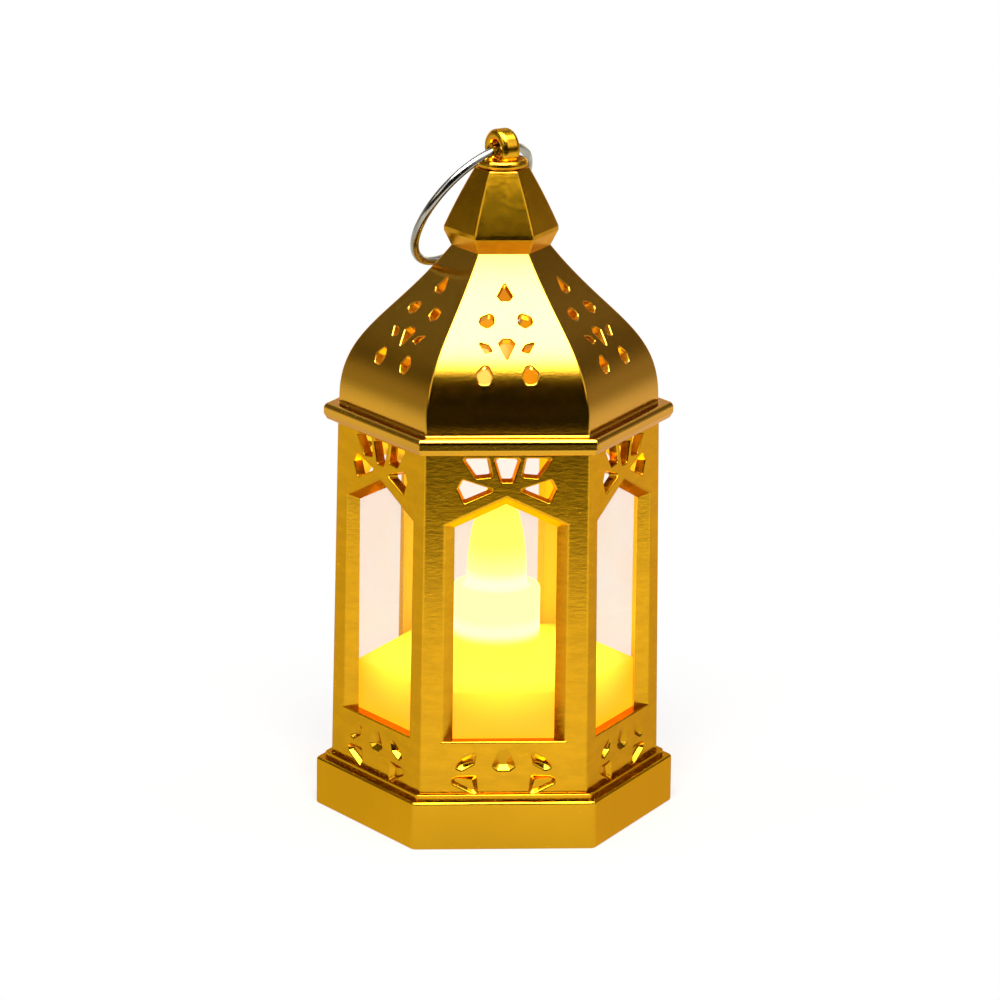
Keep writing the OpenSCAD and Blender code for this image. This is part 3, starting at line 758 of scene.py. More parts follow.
class Finishes:
    """Every finish on the lantern.

    The unnamed numbers behind a colour are shade, roughness, spread and metallic, in that order.
    """

    GOLD = (0.7, 0.358, 0.009)
    GLINT = (0.8, 0.5, 0.08)
    SATIN_GOLD = Finish("satin_gold", GOLD, 0.93, 0.2, 0.05, 1.0, coat=0.08, grain=1800.0, clouds=45.0,
                        relief=2e-6, tint=GLINT)
    # The wall's inner faces get a bright yellow of painted candle light.
    HAMMERED_GOLD = TintedInside("hammered_gold", GOLD, 0.9, 0.2, 0.06, 1.0, coat=0.1, grain=600.0,
                               clouds=160.0, relief=6e-6, squash=3.0, tint=GLINT,
                               inside_tint=(0.9, 0.62, 0.02), facing=-0.7, metal_loss=0.8)
    ROOF_GOLD = TintedInside("roof_gold", GOLD, 0.95, 0.16, 0.05, 1.0, coat=0.5, clouds=40.0, relief=4e-6,
                           tint=GLINT)
    CAP_GOLD = Finish("cap_gold", GOLD, 0.85, 0.22, 0.05, 1.0, coat=0.2, grain=900.0, clouds=160.0,
                      relief=3e-6, squash=1.5, tint=GLINT)
    RING_STEEL = Finish("ring_steel", (0.42, 0.41, 0.4), 0.8, 0.14, 0.08, 1.0, grain=3000.0, clouds=300.0,
                        relief=4e-6)
    WAX = Glow("wax_plastic", (0.1, 0.06, 0.01), 0.9, 0.45, 0.1, specular=0.05)
    FLAME = Glow("flame_plastic", (0.1, 0.07, 0.01), 0.95, 0.3, 0.06, specular=0.1, near=(1.0, 1.0, 0.42),
                 middle=(1.0, 0.97, 0.12), far=(1.0, 0.95, 0.035), hot=(1.0, 1.0, 0.85), strength=1.3,
                 steps=(0.005, 0.012, 0.014, 0.022), hot_level=0.043)
    LAMP = Glow("led_epoxy", (0.8, 0.7, 0.4), 0.95, 0.2, 0.05, near=(1.0, 0.97, 0.75))
    PANE = ClearSheet("clear_pane", (0.85, 0.48, 0.1), 0.92, 0.08, 0.04)
    DARK = Finish("dark_plastic", (0.035, 0.03, 0.026), 0.8, 0.5, 0.15)
    PALE = Finish("pale_plastic", (0.6, 0.57, 0.5), 0.9, 0.45, 0.1)
    SCREW = Finish("screw_steel", (0.42, 0.42, 0.43), 0.8, 0.35, 0.15, 1.0)
    CELL = Finish("cell_steel", (0.55, 0.55, 0.56), 0.85, 0.28, 0.12, 1.0)
    BRASS = Finish("contact_brass", (0.6, 0.4, 0.12), 0.8, 0.33, 0.15, 1.0)
    BOARD = Finish("green_board", (0.012, 0.08, 0.03), 0.8, 0.35, 0.1)
    CHIP = Finish("chip_black", (0.02, 0.02, 0.022), 0.8, 0.45, 0.1)
    RED = Finish("red_sleeve", (0.3, 0.012, 0.008), 0.85, 0.4, 0.1)
    BLACK = Finish("black_sleeve", (0.014, 0.014, 0.014), 0.85, 0.4, 0.1)


@dataclass
class Foot:
    """Six-sided foot with its ledge and the lip round the body."""

    radius: float = 33.0
    cavity: float = 30.69
    lip_outer: float = 31.4
    lip_inner: float = 30.3
    opening: float = 23.31
    ledge: float = 8.9
    base_ease: float = 0.4
    ledge_ease: float = 0.5
    lip_ease: float = 0.12
    lip_inner_ease: float = 0.1
    ceiling_ease: float = 0.3
    hollow_ease: float = 0.2
    ease: float = 0.7

    def build(self) -> None:
        """Carries the foot's section round the hexagon."""
        outer, lip = self.radius * SLANT, self.lip_outer * SLANT
        inner, hollow, opening = self.lip_inner * SLANT, self.cavity * SLANT, self.opening * SLANT
        section = eased_profile(
            [(hollow, 0, self.hollow_ease), (outer, 0, self.base_ease), (outer, self.ledge, self.ledge_ease),
             (lip, self.ledge), (lip, LEVELS.lip, self.lip_ease), (inner, LEVELS.lip, self.lip_inner_ease),
             (inner, LEVELS.seat), (opening, LEVELS.seat), (opening, LEVELS.floor),
             (hollow, LEVELS.floor, self.ceiling_ease)], closed=True)
        make_piece("gold_foot", [hex_sweep(section, self.ease)], Body.LANTERN,
                   Finishes.SATIN_GOLD, ["base_plinth"])


@dataclass
class Scoop:
    """A sunk shape in the wall: its outline, and the drop, lean and taper of its deepest part."""

    outline: list
    drop: float
    lean: float = 0.0
    taper: tuple = (0.6, 0.06)

    def mirrored(self) -> "Scoop":
        """The same shape on the other half of the side."""
        return Scoop(mirrored(self.outline), self.drop, -self.lean, self.taper)


@dataclass
class Wall:
    """Six-sided body wall with pointed windows, pierced fans and sunk patterns."""

    foot_radius: float = 30.2
    head_radius: float = 29.4
    inside: float = 23.954
    sill: float = 19.6
    shoulder: float = 59.2
    gable: float = 63.5
    window: float = 18.4
    jamb_splay: float = 2.0
    head_splay: float = 1.65
    fan_level: float = 66.8
    fan_top: float = 5.5
    fan_taper: float = 0.8
    petal_ease: float = 0.5
    blade_ease: float = 0.35
    sunk: float = 0.8
    sunk_ease: float = 0.55
    ease: float = 0.5
    edge: float = 0.22
    window_edge: float = 0.35

    def profile(self, up: Array) -> tuple[Array, Array, Array, Array]:
        """The drafted wall: its distance falls evenly from foot to head."""
        share = (up - LEVELS.seat) / (LEVELS.head - LEVELS.seat)
        distance = SLANT * (self.foot_radius + share * (self.head_radius - self.foot_radius))
        return distance, up, np.ones_like(up), np.zeros_like(up)

    def depth(self, up: Array) -> Array:
        """Place of the inner face behind the outer one."""
        return self.inside - self.profile(np.asarray(up, dtype=float))[0]

    def window_outline(self, share: float) -> Array:
        """Outline of a window at a share of the way out through the wall."""
        half = self.window / 2 + share * self.jamb_splay
        slope = (self.gable - self.shoulder) / (self.window / 2)
        jamb = self.shoulder + share * (self.head_splay - self.jamb_splay * slope)
        peak = self.gable + share * self.head_splay
        return np.array([(-half, self.sill), (half, self.sill), (half, jamb), (0, peak), (-half, jamb)])

    def holes(self) -> list[Hole]:
        """The window, the pierced fan and the sunk pattern of one side."""
        front, back = self.window_outline(1.0), self.window_outline(0.0)
        found = [Hole(front, back, self.depth(back[:, 1]), self.window_edge)]
        blades = [[(1.9, -0.4), (8.0, 1.6), (8.9, -0.2), (7.7, -2.9)],
                  [(2.6, 2.0), (5.6, 1.7), (8.2, self.fan_top), (3.3, self.fan_top)]]
        middle = [(-1.1, 1.0), (1.1, 1.0), (2.5, self.fan_top), (-2.5, self.fan_top)]
        fan = [eased_outline(middle, self.petal_ease)]
        for blade in blades:
            fan += [eased_outline(shape, self.blade_ease) for shape in (blade, mirrored(blade))]
        for outline in fan:
            outline = outline + np.array([0, self.fan_level])
            back = shrunk(outline, self.fan_taper)
            found.append(Hole(outline, back, self.depth(back[:, 1]), self.edge))
        scoops = [
            Scoop([(-0.9, 11.0), (0.9, 11.0), (2.3, 8.0), (1.2, 7.1), (-1.2, 7.1), (-2.3, 8.0)], 0.58),
            Scoop([(4.6, 11.1), (7.6, 9.5), (9.1, 7.7), (7.6, 7.1), (5.3, 8.4)], 0.35, -15.0),
            Scoop([(4.7, 6.3), (8.4, 6.1), (9.7, 5.4), (9.2, 4.6), (4.5, 2.2)], 0.12, 27.0, (0.75, 0.45)),
        ]
        for scoop in (*scoops, *(leaf.mirrored() for leaf in scoops[1:])):
            outline = eased_outline(scoop.outline, self.sunk_ease) + np.array([0, LEVELS.seat])
            back = shrunk(outline, scoop.taper, scoop.drop, scoop.lean)
            found.append(Hole(outline, back, np.full(len(back), -self.sunk), self.edge, blind=True))
        return found

    def build(self) -> None:
        """Joins the pierced sides, their eased corners and the two rims."""
        panel, holes = Panel(self.profile), self.holes()
        ends = np.array([LEVELS.seat, LEVELS.head])
        outer = self.profile(ends)[0]
        none = np.zeros((0, 2))
        patches: list[Patch] = []
        for distance, facing in ((outer, 1.0), (np.full(2, self.inside), -1.0)):
            half = distance * HALF_SIDE - self.ease
            border = np.array([(-half[0], ends[0]), (half[0], ends[0]),
                               (half[1], ends[1]), (-half[1], ends[1])])
            if facing > 0:
                face = panel.filled(border, none, [hole.rim() for hole in holes], np.zeros_like, facing)
            else:
                loops = [hole.back for hole in holes if not hole.blind]
                face = panel.filled(border, none, loops, self.depth, facing)
            patches += face.six()
            rows = np.column_stack([distance, ends, np.full(2, facing), np.zeros(2)])
            patches += hex_corners(rows, self.ease)
        patches += panel.linings(holes)
        for level, distance, facing in zip(ends, outer, (-1.0, 1.0)):
            rim = np.array([(distance, level, 0, facing), (self.inside, level, 0, facing)])
            patches.append(hex_sweep(rim, self.ease))
        make_piece("gold_wall", patches, Body.LANTERN, Finishes.HAMMERED_GOLD, ["body_frame"])


@dataclass
class Roof:
    """Six-sided ogee roof with its cornice and the pierced drops on each panel."""

    foot_radius: float = 29.2
    neck_radius: float = 9.1
    shoulder_pull: float = 13.0
    neck_pull: float = 16.6
    neck_slope: float = 55.0
    wall: float = 1.6
    inner_end: float = 0.92
    cornice_radius: float = 32.0
    cornice_bevel: float = 2.4
    cornice_turn: float = 0.55
    cornice_facet: float = 0.25
    cornice_rise: float = 1.3
    cornice_ease: float = 0.3
    rim_ease: float = 0.25
    top_ease: float = 1.0
    peg_hole: float = 4.1
    tip_ease: float = 0.2
    drop_ease: float = 0.75
    ease: float = 0.4
    edge: float = 0.25
    chord: float = 0.5
    rows: int = 56
    columns: int = 25
    curve_points: int = 801
    control: Array = field(init=False)
    shares: Array = field(init=False)
    lengths: Array = field(init=False)

    def __post_init__(self) -> None:
        """Works out the curve's control points and its length at many shares."""
        foot, neck = self.foot_radius * SLANT, self.neck_radius * SLANT
        slope = math.radians(self.neck_slope)
        self.control = np.array([
            (foot, LEVELS.roof), (foot, LEVELS.roof + self.shoulder_pull),
            (neck + self.neck_pull * math.cos(slope), LEVELS.neck - self.neck_pull * math.sin(slope)),
            (neck, LEVELS.neck)])
        self.shares = np.linspace(0, 1, self.curve_points)
        steps = np.linalg.norm(np.diff(cubic(self.control, self.shares), axis=0), axis=1)
        self.lengths = np.concatenate([[0], np.cumsum(steps)])

    def profile(self, up: Array) -> tuple[Array, Array, Array, Array]:
        """The roof's section by its length from the foot: place, and normal square to the curve."""
        t = np.interp(up, self.lengths, self.shares)
        place, go = cubic(self.control, t), cubic_heading(self.control, t)
        return place[:, 0], place[:, 1], go[:, 1], -go[:, 0]

    def holes(self) -> list[Hole]:
        """Eight drops of one panel, in four rows."""
        middles = {0.832: [(0, 1.9), (1.4, -0.8), (0.8, -1.6), (-0.8, -1.6), (-1.4, -0.8)],
                   0.494: [(0, -2.2), (1.5, 1.2), (0.7, 2.1), (-0.7, 2.1), (-1.5, 1.2)]}
        sides = {0.68: [(2.2, 1.6), (4.5, 0.7), (4.9, -0.6), (3.4, -1.6), (2.1, -0.6)],
                 0.494: [(5.1, 1.5), (3.3, 0.9), (2.6, -0.3), (3.9, -0.7)],
                 0.328: [(3.7, 2.2), (5.6, 0.1), (5.0, -1.7), (3.4, -1.8), (2.7, -0.2)]}
        rounds = {0.832: self.tip_ease, 0.68: self.drop_ease, 0.494: self.tip_ease, 0.328: self.drop_ease}
        shapes = [*middles.items()]
        shapes += [(row, side) for row, shape in sides.items() for side in (shape, mirrored(shape))]
        found = []
        for row, shape in shapes:
            outline = finer(eased_outline(shape, rounds[row]), self.chord)
            outline = outline + np.array([0, np.interp(row, self.shares, self.lengths)])
            found.append(Hole(outline, outline, np.full(len(outline), -self.wall), self.edge))
        return found

    def build(self) -> None:
        """Joins the pierced panels, the hips, the neck and the cornice."""
        panel, holes = Panel(self.profile), self.holes()
        inner_length = np.interp(self.inner_end, self.shares, self.lengths)
        patches: list[Patch] = []
        ends: dict[float, Array] = {}
        for out, top, facing in ((0.0, self.lengths[-1], 1.0), (-self.wall, inner_length, -1.0)):
            up = np.linspace(0, top, self.rows)
            distance, height, outwards, upwards = self.profile(up)
            section = np.column_stack([distance + out * outwards, height + out * upwards,
                                       facing * outwards, facing * upwards])
            ends[facing] = section
            half = section[:, 0] * HALF_SIDE - self.ease
            share = np.linspace(-1, 1, self.columns)
            across, along = np.meshgrid(up, share, indexing="ij")
            points = np.stack([along * half[:, None], across], -1)
            border = np.concatenate([points[0], points[1:-1, -1], points[-1, ::-1], points[-2:0:-1, 0]])
            loops = [hole.rim() if facing > 0 else hole.back for hole in holes]
            face = panel.filled(border, points[1:-1, 1:-1].reshape(-1, 2), loops,
                                lambda up, out=out: np.full_like(up, out), facing)
            patches += face.six()
            patches += hex_corners(section, self.ease)
        patches += panel.linings(holes)
        foot, inner_foot, inner_top = ends[1.0][0], ends[-1.0][0], ends[-1.0][-1]
        rim = self.cornice_radius * SLANT
        cornice = eased_profile(
            [(inner_foot[0], inner_foot[1]), (inner_foot[0], LEVELS.head),
             (rim - self.cornice_bevel * SLANT, LEVELS.head, self.cornice_ease),
             (rim - self.cornice_turn, LEVELS.head + self.cornice_facet, self.cornice_ease),
             (rim, LEVELS.head + self.cornice_rise, self.rim_ease), (rim, LEVELS.edge, self.top_ease),
             (foot[0], LEVELS.edge, self.cornice_ease), (foot[0], LEVELS.roof)])
        neck = eased_profile([(self.neck_radius * SLANT, LEVELS.neck), (self.peg_hole, LEVELS.neck),
                              (self.peg_hole, inner_top[1]), (inner_top[0], inner_top[1])])
        patches += [hex_sweep(cornice, self.ease, self.columns), hex_sweep(neck, self.ease, self.columns)]
        make_piece("gold_roof", patches, Body.LANTERN, Finishes.ROOF_GOLD, ["roof_dome"])


@dataclass
class Cap:
    """Six-sided cap with its peg, the bulging collar and the hanging eye."""

    neck_radius: float = 9.1
    eave_radius: float = 10.5
    flare: float = 2.8
    eave: float = 0.8
    bow: float = 0.29
    bow_radius: float = 115.0
    top_radius: float = 5.0
    peg_radius: float = 4.0
    peg_length: float = 3.0
    collar_radius: float = 4.7
    collar_height: float = 1.7
    eye_radius: float = 3.6
    eye_hole: float = 1.6
    eye_length: float = 3.7
    eye_turn: float = 210.0
    eave_ease: float = 0.25
    top_ease: float = 0.35
    soft: float = 0.3
    ease: float = 0.45
    chords: int = 8

    def build(self) -> None:
        """Joins the cap's section, its collar and the eye."""
        neck, eave, top = (r * SLANT for r in (self.neck_radius, self.eave_radius, self.top_radius))
        lip = LEVELS.neck + self.flare
        half_way = ((eave + top) / 2 + self.bow, (lip + self.eave + LEVELS.cap) / 2)
        section = eased_profile(
            [(0, LEVELS.neck), (neck, LEVELS.neck), (eave, lip, self.eave_ease),
             (eave, lip + self.eave, self.soft), (*half_way, self.bow_radius),
             (top, LEVELS.cap, self.top_ease), (0, LEVELS.cap)])
        low, high = LEVELS.neck - self.peg_length, LEVELS.cap + self.collar_height
        peg = eased_profile([(0, low), (self.peg_radius, low, self.soft), (self.peg_radius, LEVELS.neck),
                             (0, LEVELS.neck)])
        bulge = self.collar_height / 2 - SLIVER
        collar = eased_profile([(0, LEVELS.cap), (self.collar_radius, LEVELS.cap, bulge),
                                (self.collar_radius, high, bulge), (0, high)], steps=self.chords)
        patches = [hex_sweep(section, self.ease), revolved(peg), revolved(collar), self.eye()]
        make_piece("gold_cap", patches, Body.LANTERN, Finishes.CAP_GOLD, ["roof_cap"])

    def eye(self) -> Patch:
        """The eye: a rounded bar's section turned about the hole's axis."""
        half = self.eye_length / 2
        bulge = (self.eye_radius - self.eye_hole) / 2 - SLIVER
        section = eased_profile([(self.eye_hole, -half, bulge), (self.eye_radius, -half, bulge),
                                 (self.eye_radius, half, bulge), (self.eye_hole, half, bulge)],
                                closed=True, steps=self.chords)
        along = turned(np.array([1.0, 0.0, 0.0]), self.eye_turn)
        across = turned(along, 90)
        return revolved(section).moved(np.array([across, np.cross(along, across), along]), (0, 0, LEVELS.eye))


@dataclass
class HangingRing:
    """Wire ring in the eye, leaning back on the roof."""

    radius: float = 13.6
    wire: float = 0.8
    turn: float = 228.0
    lean: float = 57.5
    slide: float = 0.5
    wire_columns: int = 24
    ring_columns: int = 144

    def build(self) -> None:
        """A circle of wire carried round the ring: a torus in the ring's own plane."""
        swing = np.linspace(0, 2 * math.pi, self.wire_columns, endpoint=False)
        section = np.column_stack([self.radius + self.wire * np.cos(swing), self.wire * np.sin(swing),
                                   np.cos(swing), np.sin(swing)])
        section = np.concatenate([section, section[:1]])
        along = turned(np.array([1.0, 0.0, 0.0]), self.turn)
        level = turned(along, -90)
        lean = math.radians(self.lean)
        down = math.cos(lean) * level - math.sin(lean) * np.array([0.0, 0.0, 1.0])
        middle = np.array([0, 0, LEVELS.eye]) + self.radius * down - self.slide * along
        axes = np.array([down, along, np.cross(down, along)])
        patch = revolved(section, self.ring_columns).moved(axes, middle)
        make_piece("steel_ring", [patch], Body.RING, Finishes.RING_STEEL, ["hanging_ring"])


@dataclass
class Candle:
    """Six-sided wax-coloured candle with its pillar, and the flame on it.

    The two pulls place the inner control points of the flame's curve, as shares of its radius and height.
    """

    radius: float = 25.64
    inner_radius: float = 23.91
    shoulder: float = 27.7
    top_wall: float = 1.5
    pillar: float = 8.0
    pillar_top: float = 42.0
    fillet: float = 2.4
    rim: float = 0.8
    socket: float = 6.3
    socket_floor: float = 38.0
    bore: float = 5.5
    lamp_hole: float = 3.2
    flame_radius: float = 5.5
    flame_height: float = 19.5
    flame_wall: float = 1.2
    flame_play: float = 0.1
    flame_ease: float = 0.2
    belly_pull: tuple = (1.04, 0.42)
    tip_pull: tuple = (0.66, 0.95)
    soft: float = 0.5
    socket_ease: float = 0.3
    ease: float = 0.9
    columns: int = 13
    corners: int = 4
    rings: int = 5
    chords: int = 7
    flame_rows: int = 28

    def level_ring(self, distance: float, circle: float, height: float, facing: float) -> Patch:
        """Flat ring between a hexagon and a circle: rows run straight from one to the other."""
        rows = np.array([(distance, height, 0, facing)])
        points, _ = hex_rows(rows, np.array([self.ease]), self.columns, self.corners)
        outer = np.concatenate([turned(points[0], FACE_TURN * side) for side in range(SIDES)])
        inner = np.column_stack([circle * unit(outer[:, :2]), outer[:, 2]])
        share = np.linspace(0, 1, self.rings)[:, None, None]
        grid = (1 - share) * outer + share * inner
        return grid_patch(grid, np.broadcast_to([0.0, 0.0, facing], grid.shape), closed=True)

    def build(self) -> None:
        """Joins the candle's sides, its flat shoulder and the turned pillar, then adds the flame."""
        outer, inner = self.radius * SLANT, self.inner_radius * SLANT
        under, top_edge = self.shoulder - self.top_wall, outer - 2 * self.soft
        sides = eased_profile([(inner, under), (inner, LEVELS.seat), (outer, LEVELS.seat),
                               (outer, self.shoulder, self.soft), (top_edge, self.shoulder)])
        foot = self.pillar + self.fillet
        hole = eased_profile([(self.lamp_hole, self.shoulder), (self.lamp_hole, under)])
        pillar = eased_profile(
            [(foot, self.shoulder), (self.pillar, self.shoulder, self.fillet - SLIVER),
             (self.pillar, self.pillar_top, self.rim), (self.socket, self.pillar_top, self.socket_ease),
             (self.socket, self.socket_floor), (self.bore, self.socket_floor), (self.bore, self.shoulder),
             (self.lamp_hole, self.shoulder)], steps=self.chords)
        top = self.level_ring(top_edge, foot, self.shoulder, 1.0)
        ceiling = self.level_ring(inner, self.lamp_hole, under, -1.0)
        last = top.points[-SIDES * (self.columns + self.corners):]
        angles = np.arctan2(last[:, 1], last[:, 0])
        patches = [hex_sweep(sides, self.ease, self.columns, self.corners), top, ceiling,
                   revolved(pillar, angles=angles), revolved(hole, angles=angles)]
        make_piece("wax_candle", patches, Body.LANTERN, Finishes.WAX, ["candle_body"])
        self.build_flame()

    def build_flame(self) -> None:
        """Turns the flame's section: a cubic curve outside, the same curve set in by the wall inside."""
        base = np.array([0.0, self.pillar_top])
        size = np.array([self.flame_radius, self.flame_height])
        shares = np.array([(1.0, 0.0), self.belly_pull, self.tip_pull, (0.0, 1.0)])
        outer = base + shares * size
        inner = np.column_stack([np.maximum(outer[:, 0] - self.flame_wall, 0), outer[:, 1] - self.flame_wall])
        t = np.linspace(0, 1, self.flame_rows)
        sections = []
        for control in (outer, inner[::-1]):
            go = cubic_heading(control, t)
            sections.append(np.column_stack([cubic(control, t), go[:, 1], -go[:, 0]]))
        ring, hollow = self.socket - self.flame_play, inner[0, 0]
        foot = eased_profile([(hollow, inner[0, 1]), (hollow, self.socket_floor), (ring, self.socket_floor),
                              (ring, self.pillar_top, self.flame_ease), (self.flame_radius, self.pillar_top)])
        patches = [revolved(section) for section in (*sections, foot)]
        make_piece("candle_flame", patches, Body.LANTERN, Finishes.FLAME, ["flame_tip"])


class Fittings:
    """CAD nodes that stay in view: panes, electrics and the underside."""

    PARTS = {
        "bottom_cover": Finishes.DARK, "battery_door": Finishes.DARK, "switch_housing": Finishes.DARK,
        "cover_screws": Finishes.SCREW, "coin_cell": Finishes.CELL, "positive_contact": Finishes.BRASS,
        "negative_contact": Finishes.BRASS, "switch_terminals": Finishes.BRASS, "switch_knob": Finishes.PALE,
        "led_board": Finishes.BOARD, "resistor": Finishes.CHIP, "led": Finishes.LAMP,
        "red_wire": Finishes.RED, "black_wire": Finishes.BLACK, "link_wire": Finishes.BLACK,
    }

    def build(self) -> None:
        """Dresses each node in its finish."""
        for name, finish in self.PARTS.items():
            dress_node(name, finish)
        for side in range(1, SIDES + 1):
            dress_node(f"window_pane_{side}", Finishes.PANE)


@dataclass
class Viewpoint:
    """The camera at the photograph's angle: degrees, metres, and pixels for the focal length and shifts."""

    azimuth: float = -3.72
    elevation: float = 14.86
    roll: float = -0.74
    distance: float = 1.1427
    aim_height: float = 0.065
    focal: float = 6259.1
    frame_width: float = 1000.0
    shift_right: float = -2.3
    shift_down: float = -38.4
    sensor: float = 36.0
    clip: tuple = (0.05, 50.0)

    def build(self) -> None:
        """Sets the plain view transform, and places the camera.

        The camera looks at the aim point, then swings so that this point lands off the middle.
        """
        scene = bpy.context.scene
        scene.view_settings.view_transform = "Standard"
        lens = bpy.data.cameras.new("camera")
        lens.sensor_width = self.sensor
        lens.lens = self.focal / self.frame_width * self.sensor
        lens.clip_start, lens.clip_end = self.clip
        place = (Matrix.Rotation(math.radians(self.azimuth), 4, "Z")
                 @ Matrix.Translation((0, 0, self.aim_height))
                 @ Matrix.Rotation(math.radians(90 - self.elevation), 4, "X")
                 @ Matrix.Translation((0, 0, self.distance)))
        swing = (Matrix.Rotation(math.atan(self.shift_right / self.focal), 4, "Y")
                 @ Matrix.Rotation(math.atan(self.shift_down / self.focal), 4, "X")
                 @ Matrix.Rotation(math.radians(-self.roll), 4, "Z"))
        scene.camera = shown("camera", lens)
        scene.camera.matrix_world = place @ swing


@dataclass
class Floor:
    """Round pale floor, see-through from below, whose reflection fades out as on a small table.

    radius and level are millimetres. A ramp carries its first two numbers, in metres, to its last two:
    near and shadow go by the distance from the middle, and the others by the way back from it.
    """

    radius: float = 1200.0
    level: float = -0.02
    rings: int = 24
    columns: int = 96
    colour: tuple = (0.86, 0.86, 0.85)
    glow: tuple = (1.0, 0.97, 0.82)
    even_light: float = 0.5
    near: Ramp = (0.1, 0.9, 1.0, 0.4)
    table_edge: Ramp = (-0.312, -0.29, 0.01, 0.27)
    bright_edge: Ramp = (-0.232, -0.185, 0.0, 0.85)
    # Painted shadow: the glow that reflections see darkens from 10 cm in front to the lantern's middle.
    painted_front_shadow: Ramp = (-0.1, 0.0, 1.12, 0.76)
    back_lift: Ramp = (0.07, 0.13, 1.0, 1.25)
    shadow: Ramp = (0.03, 0.13, 0.6, 1.0)

    def build(self) -> None:
        """Makes the disc, with its faces up."""
        out = np.linspace(0, self.radius, self.rings)
        none = np.zeros_like(out)
        disc = revolved(np.column_stack([out, none + self.level, none, none + 1]), self.columns)
        mesh = bpy.data.meshes.new("floor")
        mesh.from_pydata((disc.points * MM).tolist(), [], disc.triangles[:, ::-1].tolist())
        mesh.materials.append(self.material())
        shown("floor", mesh)

    def material(self) -> bpy.types.Material:
        """White to the camera but for its shadow; to reflections a fading glow, painted darker near the
        lantern.
        """
        material = bpy.data.materials.new("pale_floor")
        material.use_nodes = True
        material.cycles.emission_sampling = "NONE"
        material.node_tree.nodes.clear()
        tree = Tree(material.node_tree)
        path = tree.add("ShaderNodeLightPath").outputs
        place = tree.add("ShaderNodeTexCoord").outputs["Object"]
        away = tree.vector("LENGTH", place).outputs["Value"]
        back = tree.add("ShaderNodeSeparateXYZ", place).outputs["Y"]
        edge = tree.math("ADD", tree.spread(back, *self.table_edge), tree.spread(back, *self.bright_edge))
        # The glow that reflections see is darkened near the lantern: a painted shadow.
        fade_and_shadow = tree.product(tree.spread(away, *self.near), edge, tree.spread(back, *self.painted_front_shadow),
                            tree.spread(back, *self.back_lift))
        mirror = tree.product(path["Is Glossy Ray"], fade_and_shadow)
        soft = tree.product(path["Is Diffuse Ray"], self.even_light)
        matt = tree.add("ShaderNodeBsdfDiffuse", (*self.colour, 1.0))
        glow = tree.add("ShaderNodeEmission", (*self.glow, 1.0), tree.math("ADD", mirror, soft))
        white = tree.add("ShaderNodeEmission", (1.0, 1.0, 1.0, 1.0), 1.0)
        lit = tree.math("MAXIMUM", path["Is Glossy Ray"], path["Is Diffuse Ray"])
        plain = tree.product(path["Is Camera Ray"], tree.spread(away, *self.shadow))
        above = tree.either(plain, tree.either(lit, matt, glow), white)
        behind = tree.add("ShaderNodeNewGeometry").outputs["Backfacing"]
        whole = tree.either(behind, above, tree.add("ShaderNodeBsdfTransparent"))
        tree.add("ShaderNodeOutputMaterial", whole.outputs[0])
        return material


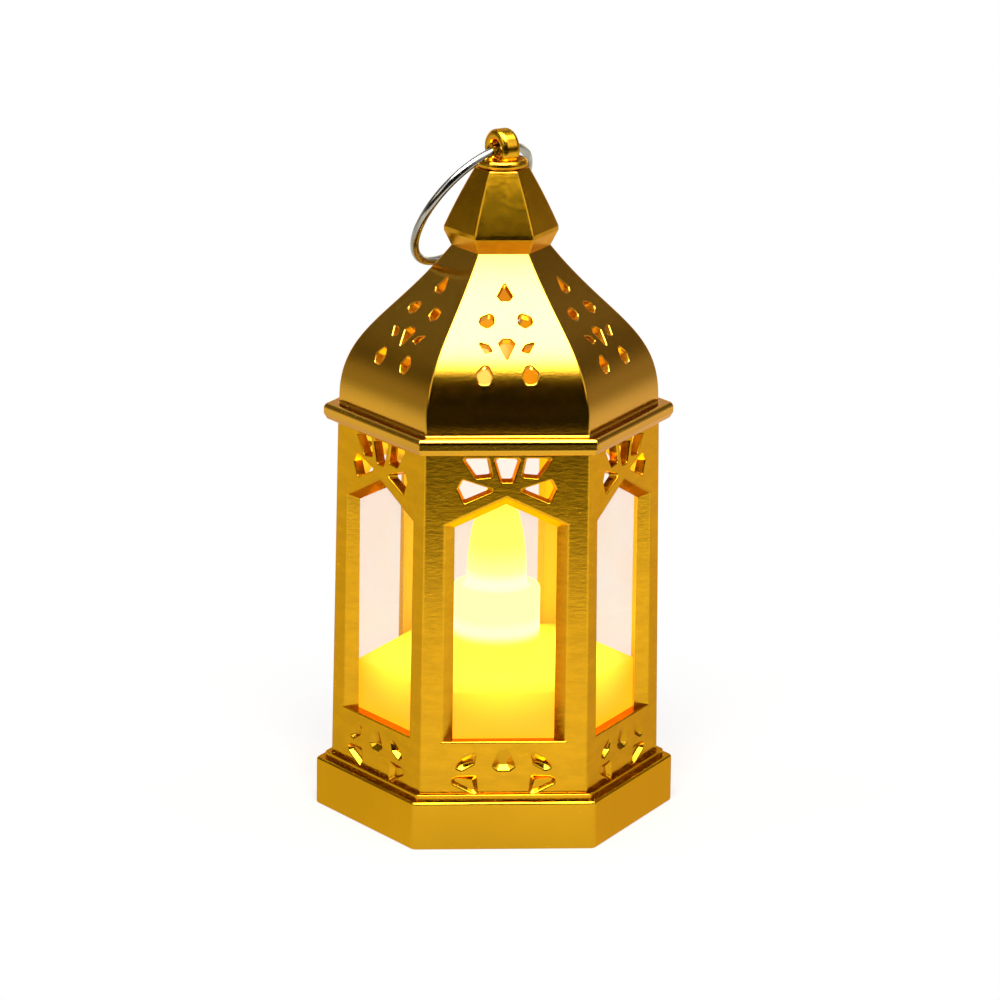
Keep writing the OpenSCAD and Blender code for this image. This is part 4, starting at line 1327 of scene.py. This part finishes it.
@dataclass
class Room:
    """White behind the object, in reflections a dim room under a bright tent, and soft even light.

    A ramp carries its first two numbers, which are parts of a direction of length one, to its last two.
    """

    back_wall: Ramp = (0.6, 0.85, 0.16, 0.75)
    dark_front: Ramp = (-0.5, 0.15, 0.06, 1.0)
    low_light: Ramp = (0.02, 0.27, 2.2, 0.75)
    high_light: Ramp = (0.3, 0.45, 1.0, 1.35)
    tent_rise: Ramp = (0.53, 0.94, 0.0, 1.0)
    tent_power: float = 3.6
    tent_depth: Ramp = (-0.2, 0.3, 24.0, 0.5)
    box_side: Ramp = (0.5, 0.7, 0.0, 1.5)
    box_depth: Ramp = (-0.3, -0.1, 1.0, 0.0)
    box_rise: Ramp = (0.1, 0.35, 0.0, 1.0)
    warm_rise: Ramp = (0.3, 0.6, 1.0, 0.0)
    warm: tuple = (1.0, 0.9, 0.7)
    even_light: float = 0.55

    def build(self) -> None:
        """Makes the world, which is white to the camera and the room to reflections."""
        world = bpy.data.worlds.new("studio")
        bpy.context.scene.world = world
        world.use_nodes = True
        world.cycles.sampling_method = "NONE"
        world.node_tree.nodes.clear()
        tree = Tree(world.node_tree)
        path = tree.add("ShaderNodeLightPath").outputs
        way = tree.add("ShaderNodeTexCoord").outputs["Generated"]
        across, back, rise = tree.add("ShaderNodeSeparateXYZ", way).outputs
        room = tree.product(tree.spread(back, *self.back_wall), tree.spread(back, *self.dark_front),
                            tree.spread(rise, *self.low_light), tree.spread(rise, *self.high_light))
        tent = tree.product(tree.math("POWER", tree.spread(rise, *self.tent_rise), self.tent_power),
                            tree.spread(back, *self.tent_depth))
        boxes = tree.product(tree.spread(tree.math("ABSOLUTE", across), *self.box_side),
                             tree.spread(back, *self.box_depth), tree.spread(rise, *self.box_rise))
        mirror = tree.math("ADD", tree.math("ADD", room, tent), boxes)
        glossy = tree.product(path["Is Glossy Ray"], mirror)
        warm = tree.product(path["Is Glossy Ray"], tree.spread(rise, *self.warm_rise))
        colour = tree.blend(warm, (1.0, 1.0, 1.0, 1.0), (*self.warm, 1.0))
        seen = tree.math("MAXIMUM", path["Is Camera Ray"], path["Is Transmission Ray"])
        soft = tree.product(path["Is Diffuse Ray"], self.even_light)
        level = tree.math("MAXIMUM", tree.math("MAXIMUM", glossy, seen), soft)
        light = tree.add("ShaderNodeBackground", colour, level)
        tree.add("ShaderNodeOutputWorld", light.outputs[0])


@dataclass
class Lamps:
    """Soft lamps for the shadow, which reflections don't show, and the candle's own light.

    Each area lamp has a place and a size in metres, and a power in watts.
    """

    AREAS = {"high_front": ((-0.05, -0.62, 0.85), (0.5, 0.45), 9.0),
             "left": ((-1.1, 0.1, 0.5), (0.5, 0.7), 2.0),
             "right": ((1.1, 0.1, 0.5), (0.5, 0.7), 2.0)}
    aim: tuple = (0.0, 0.0, 0.07)
    candle_place: tuple = (0.0, 0.0, 0.068)
    candle_colour: tuple = (1.0, 0.8, 0.3)
    candle_size: float = 0.005
    candle_power: float = 0.02

    def build(self) -> None:
        """Places the area lamps so that they look at the aim point, and the light in the flame."""
        for name, (place, size, power) in self.AREAS.items():
            area = bpy.data.lights.new(name, "AREA")
            area.shape = "RECTANGLE"
            area.size, area.size_y = size
            area.energy = power
            lamp = shown(name, area)
            lamp.visible_glossy = False
            look = (Vector(self.aim) - Vector(place)).to_track_quat("-Z", "Y")
            lamp.matrix_world = Matrix.Translation(place) @ look.to_matrix().to_4x4()
        point = bpy.data.lights.new("candle_light", "POINT")
        point.energy, point.color = self.candle_power, self.candle_colour
        point.shadow_soft_size = self.candle_size
        shown("candle_light", point).location = self.candle_place


def main() -> None:
    """Builds the studio, then each sub-assembly from the foot up."""
    logging.basicConfig(level=logging.INFO, format="%(name)s: %(message)s")
    studio = (Viewpoint(), Floor(), Room(), Lamps())
    lantern = (Foot(), Wall(), Roof(), Cap(), HangingRing(), Candle(), Fittings())
    for part in (*studio, *lantern):
        part.build()


if __name__ == "__main__":
    main()
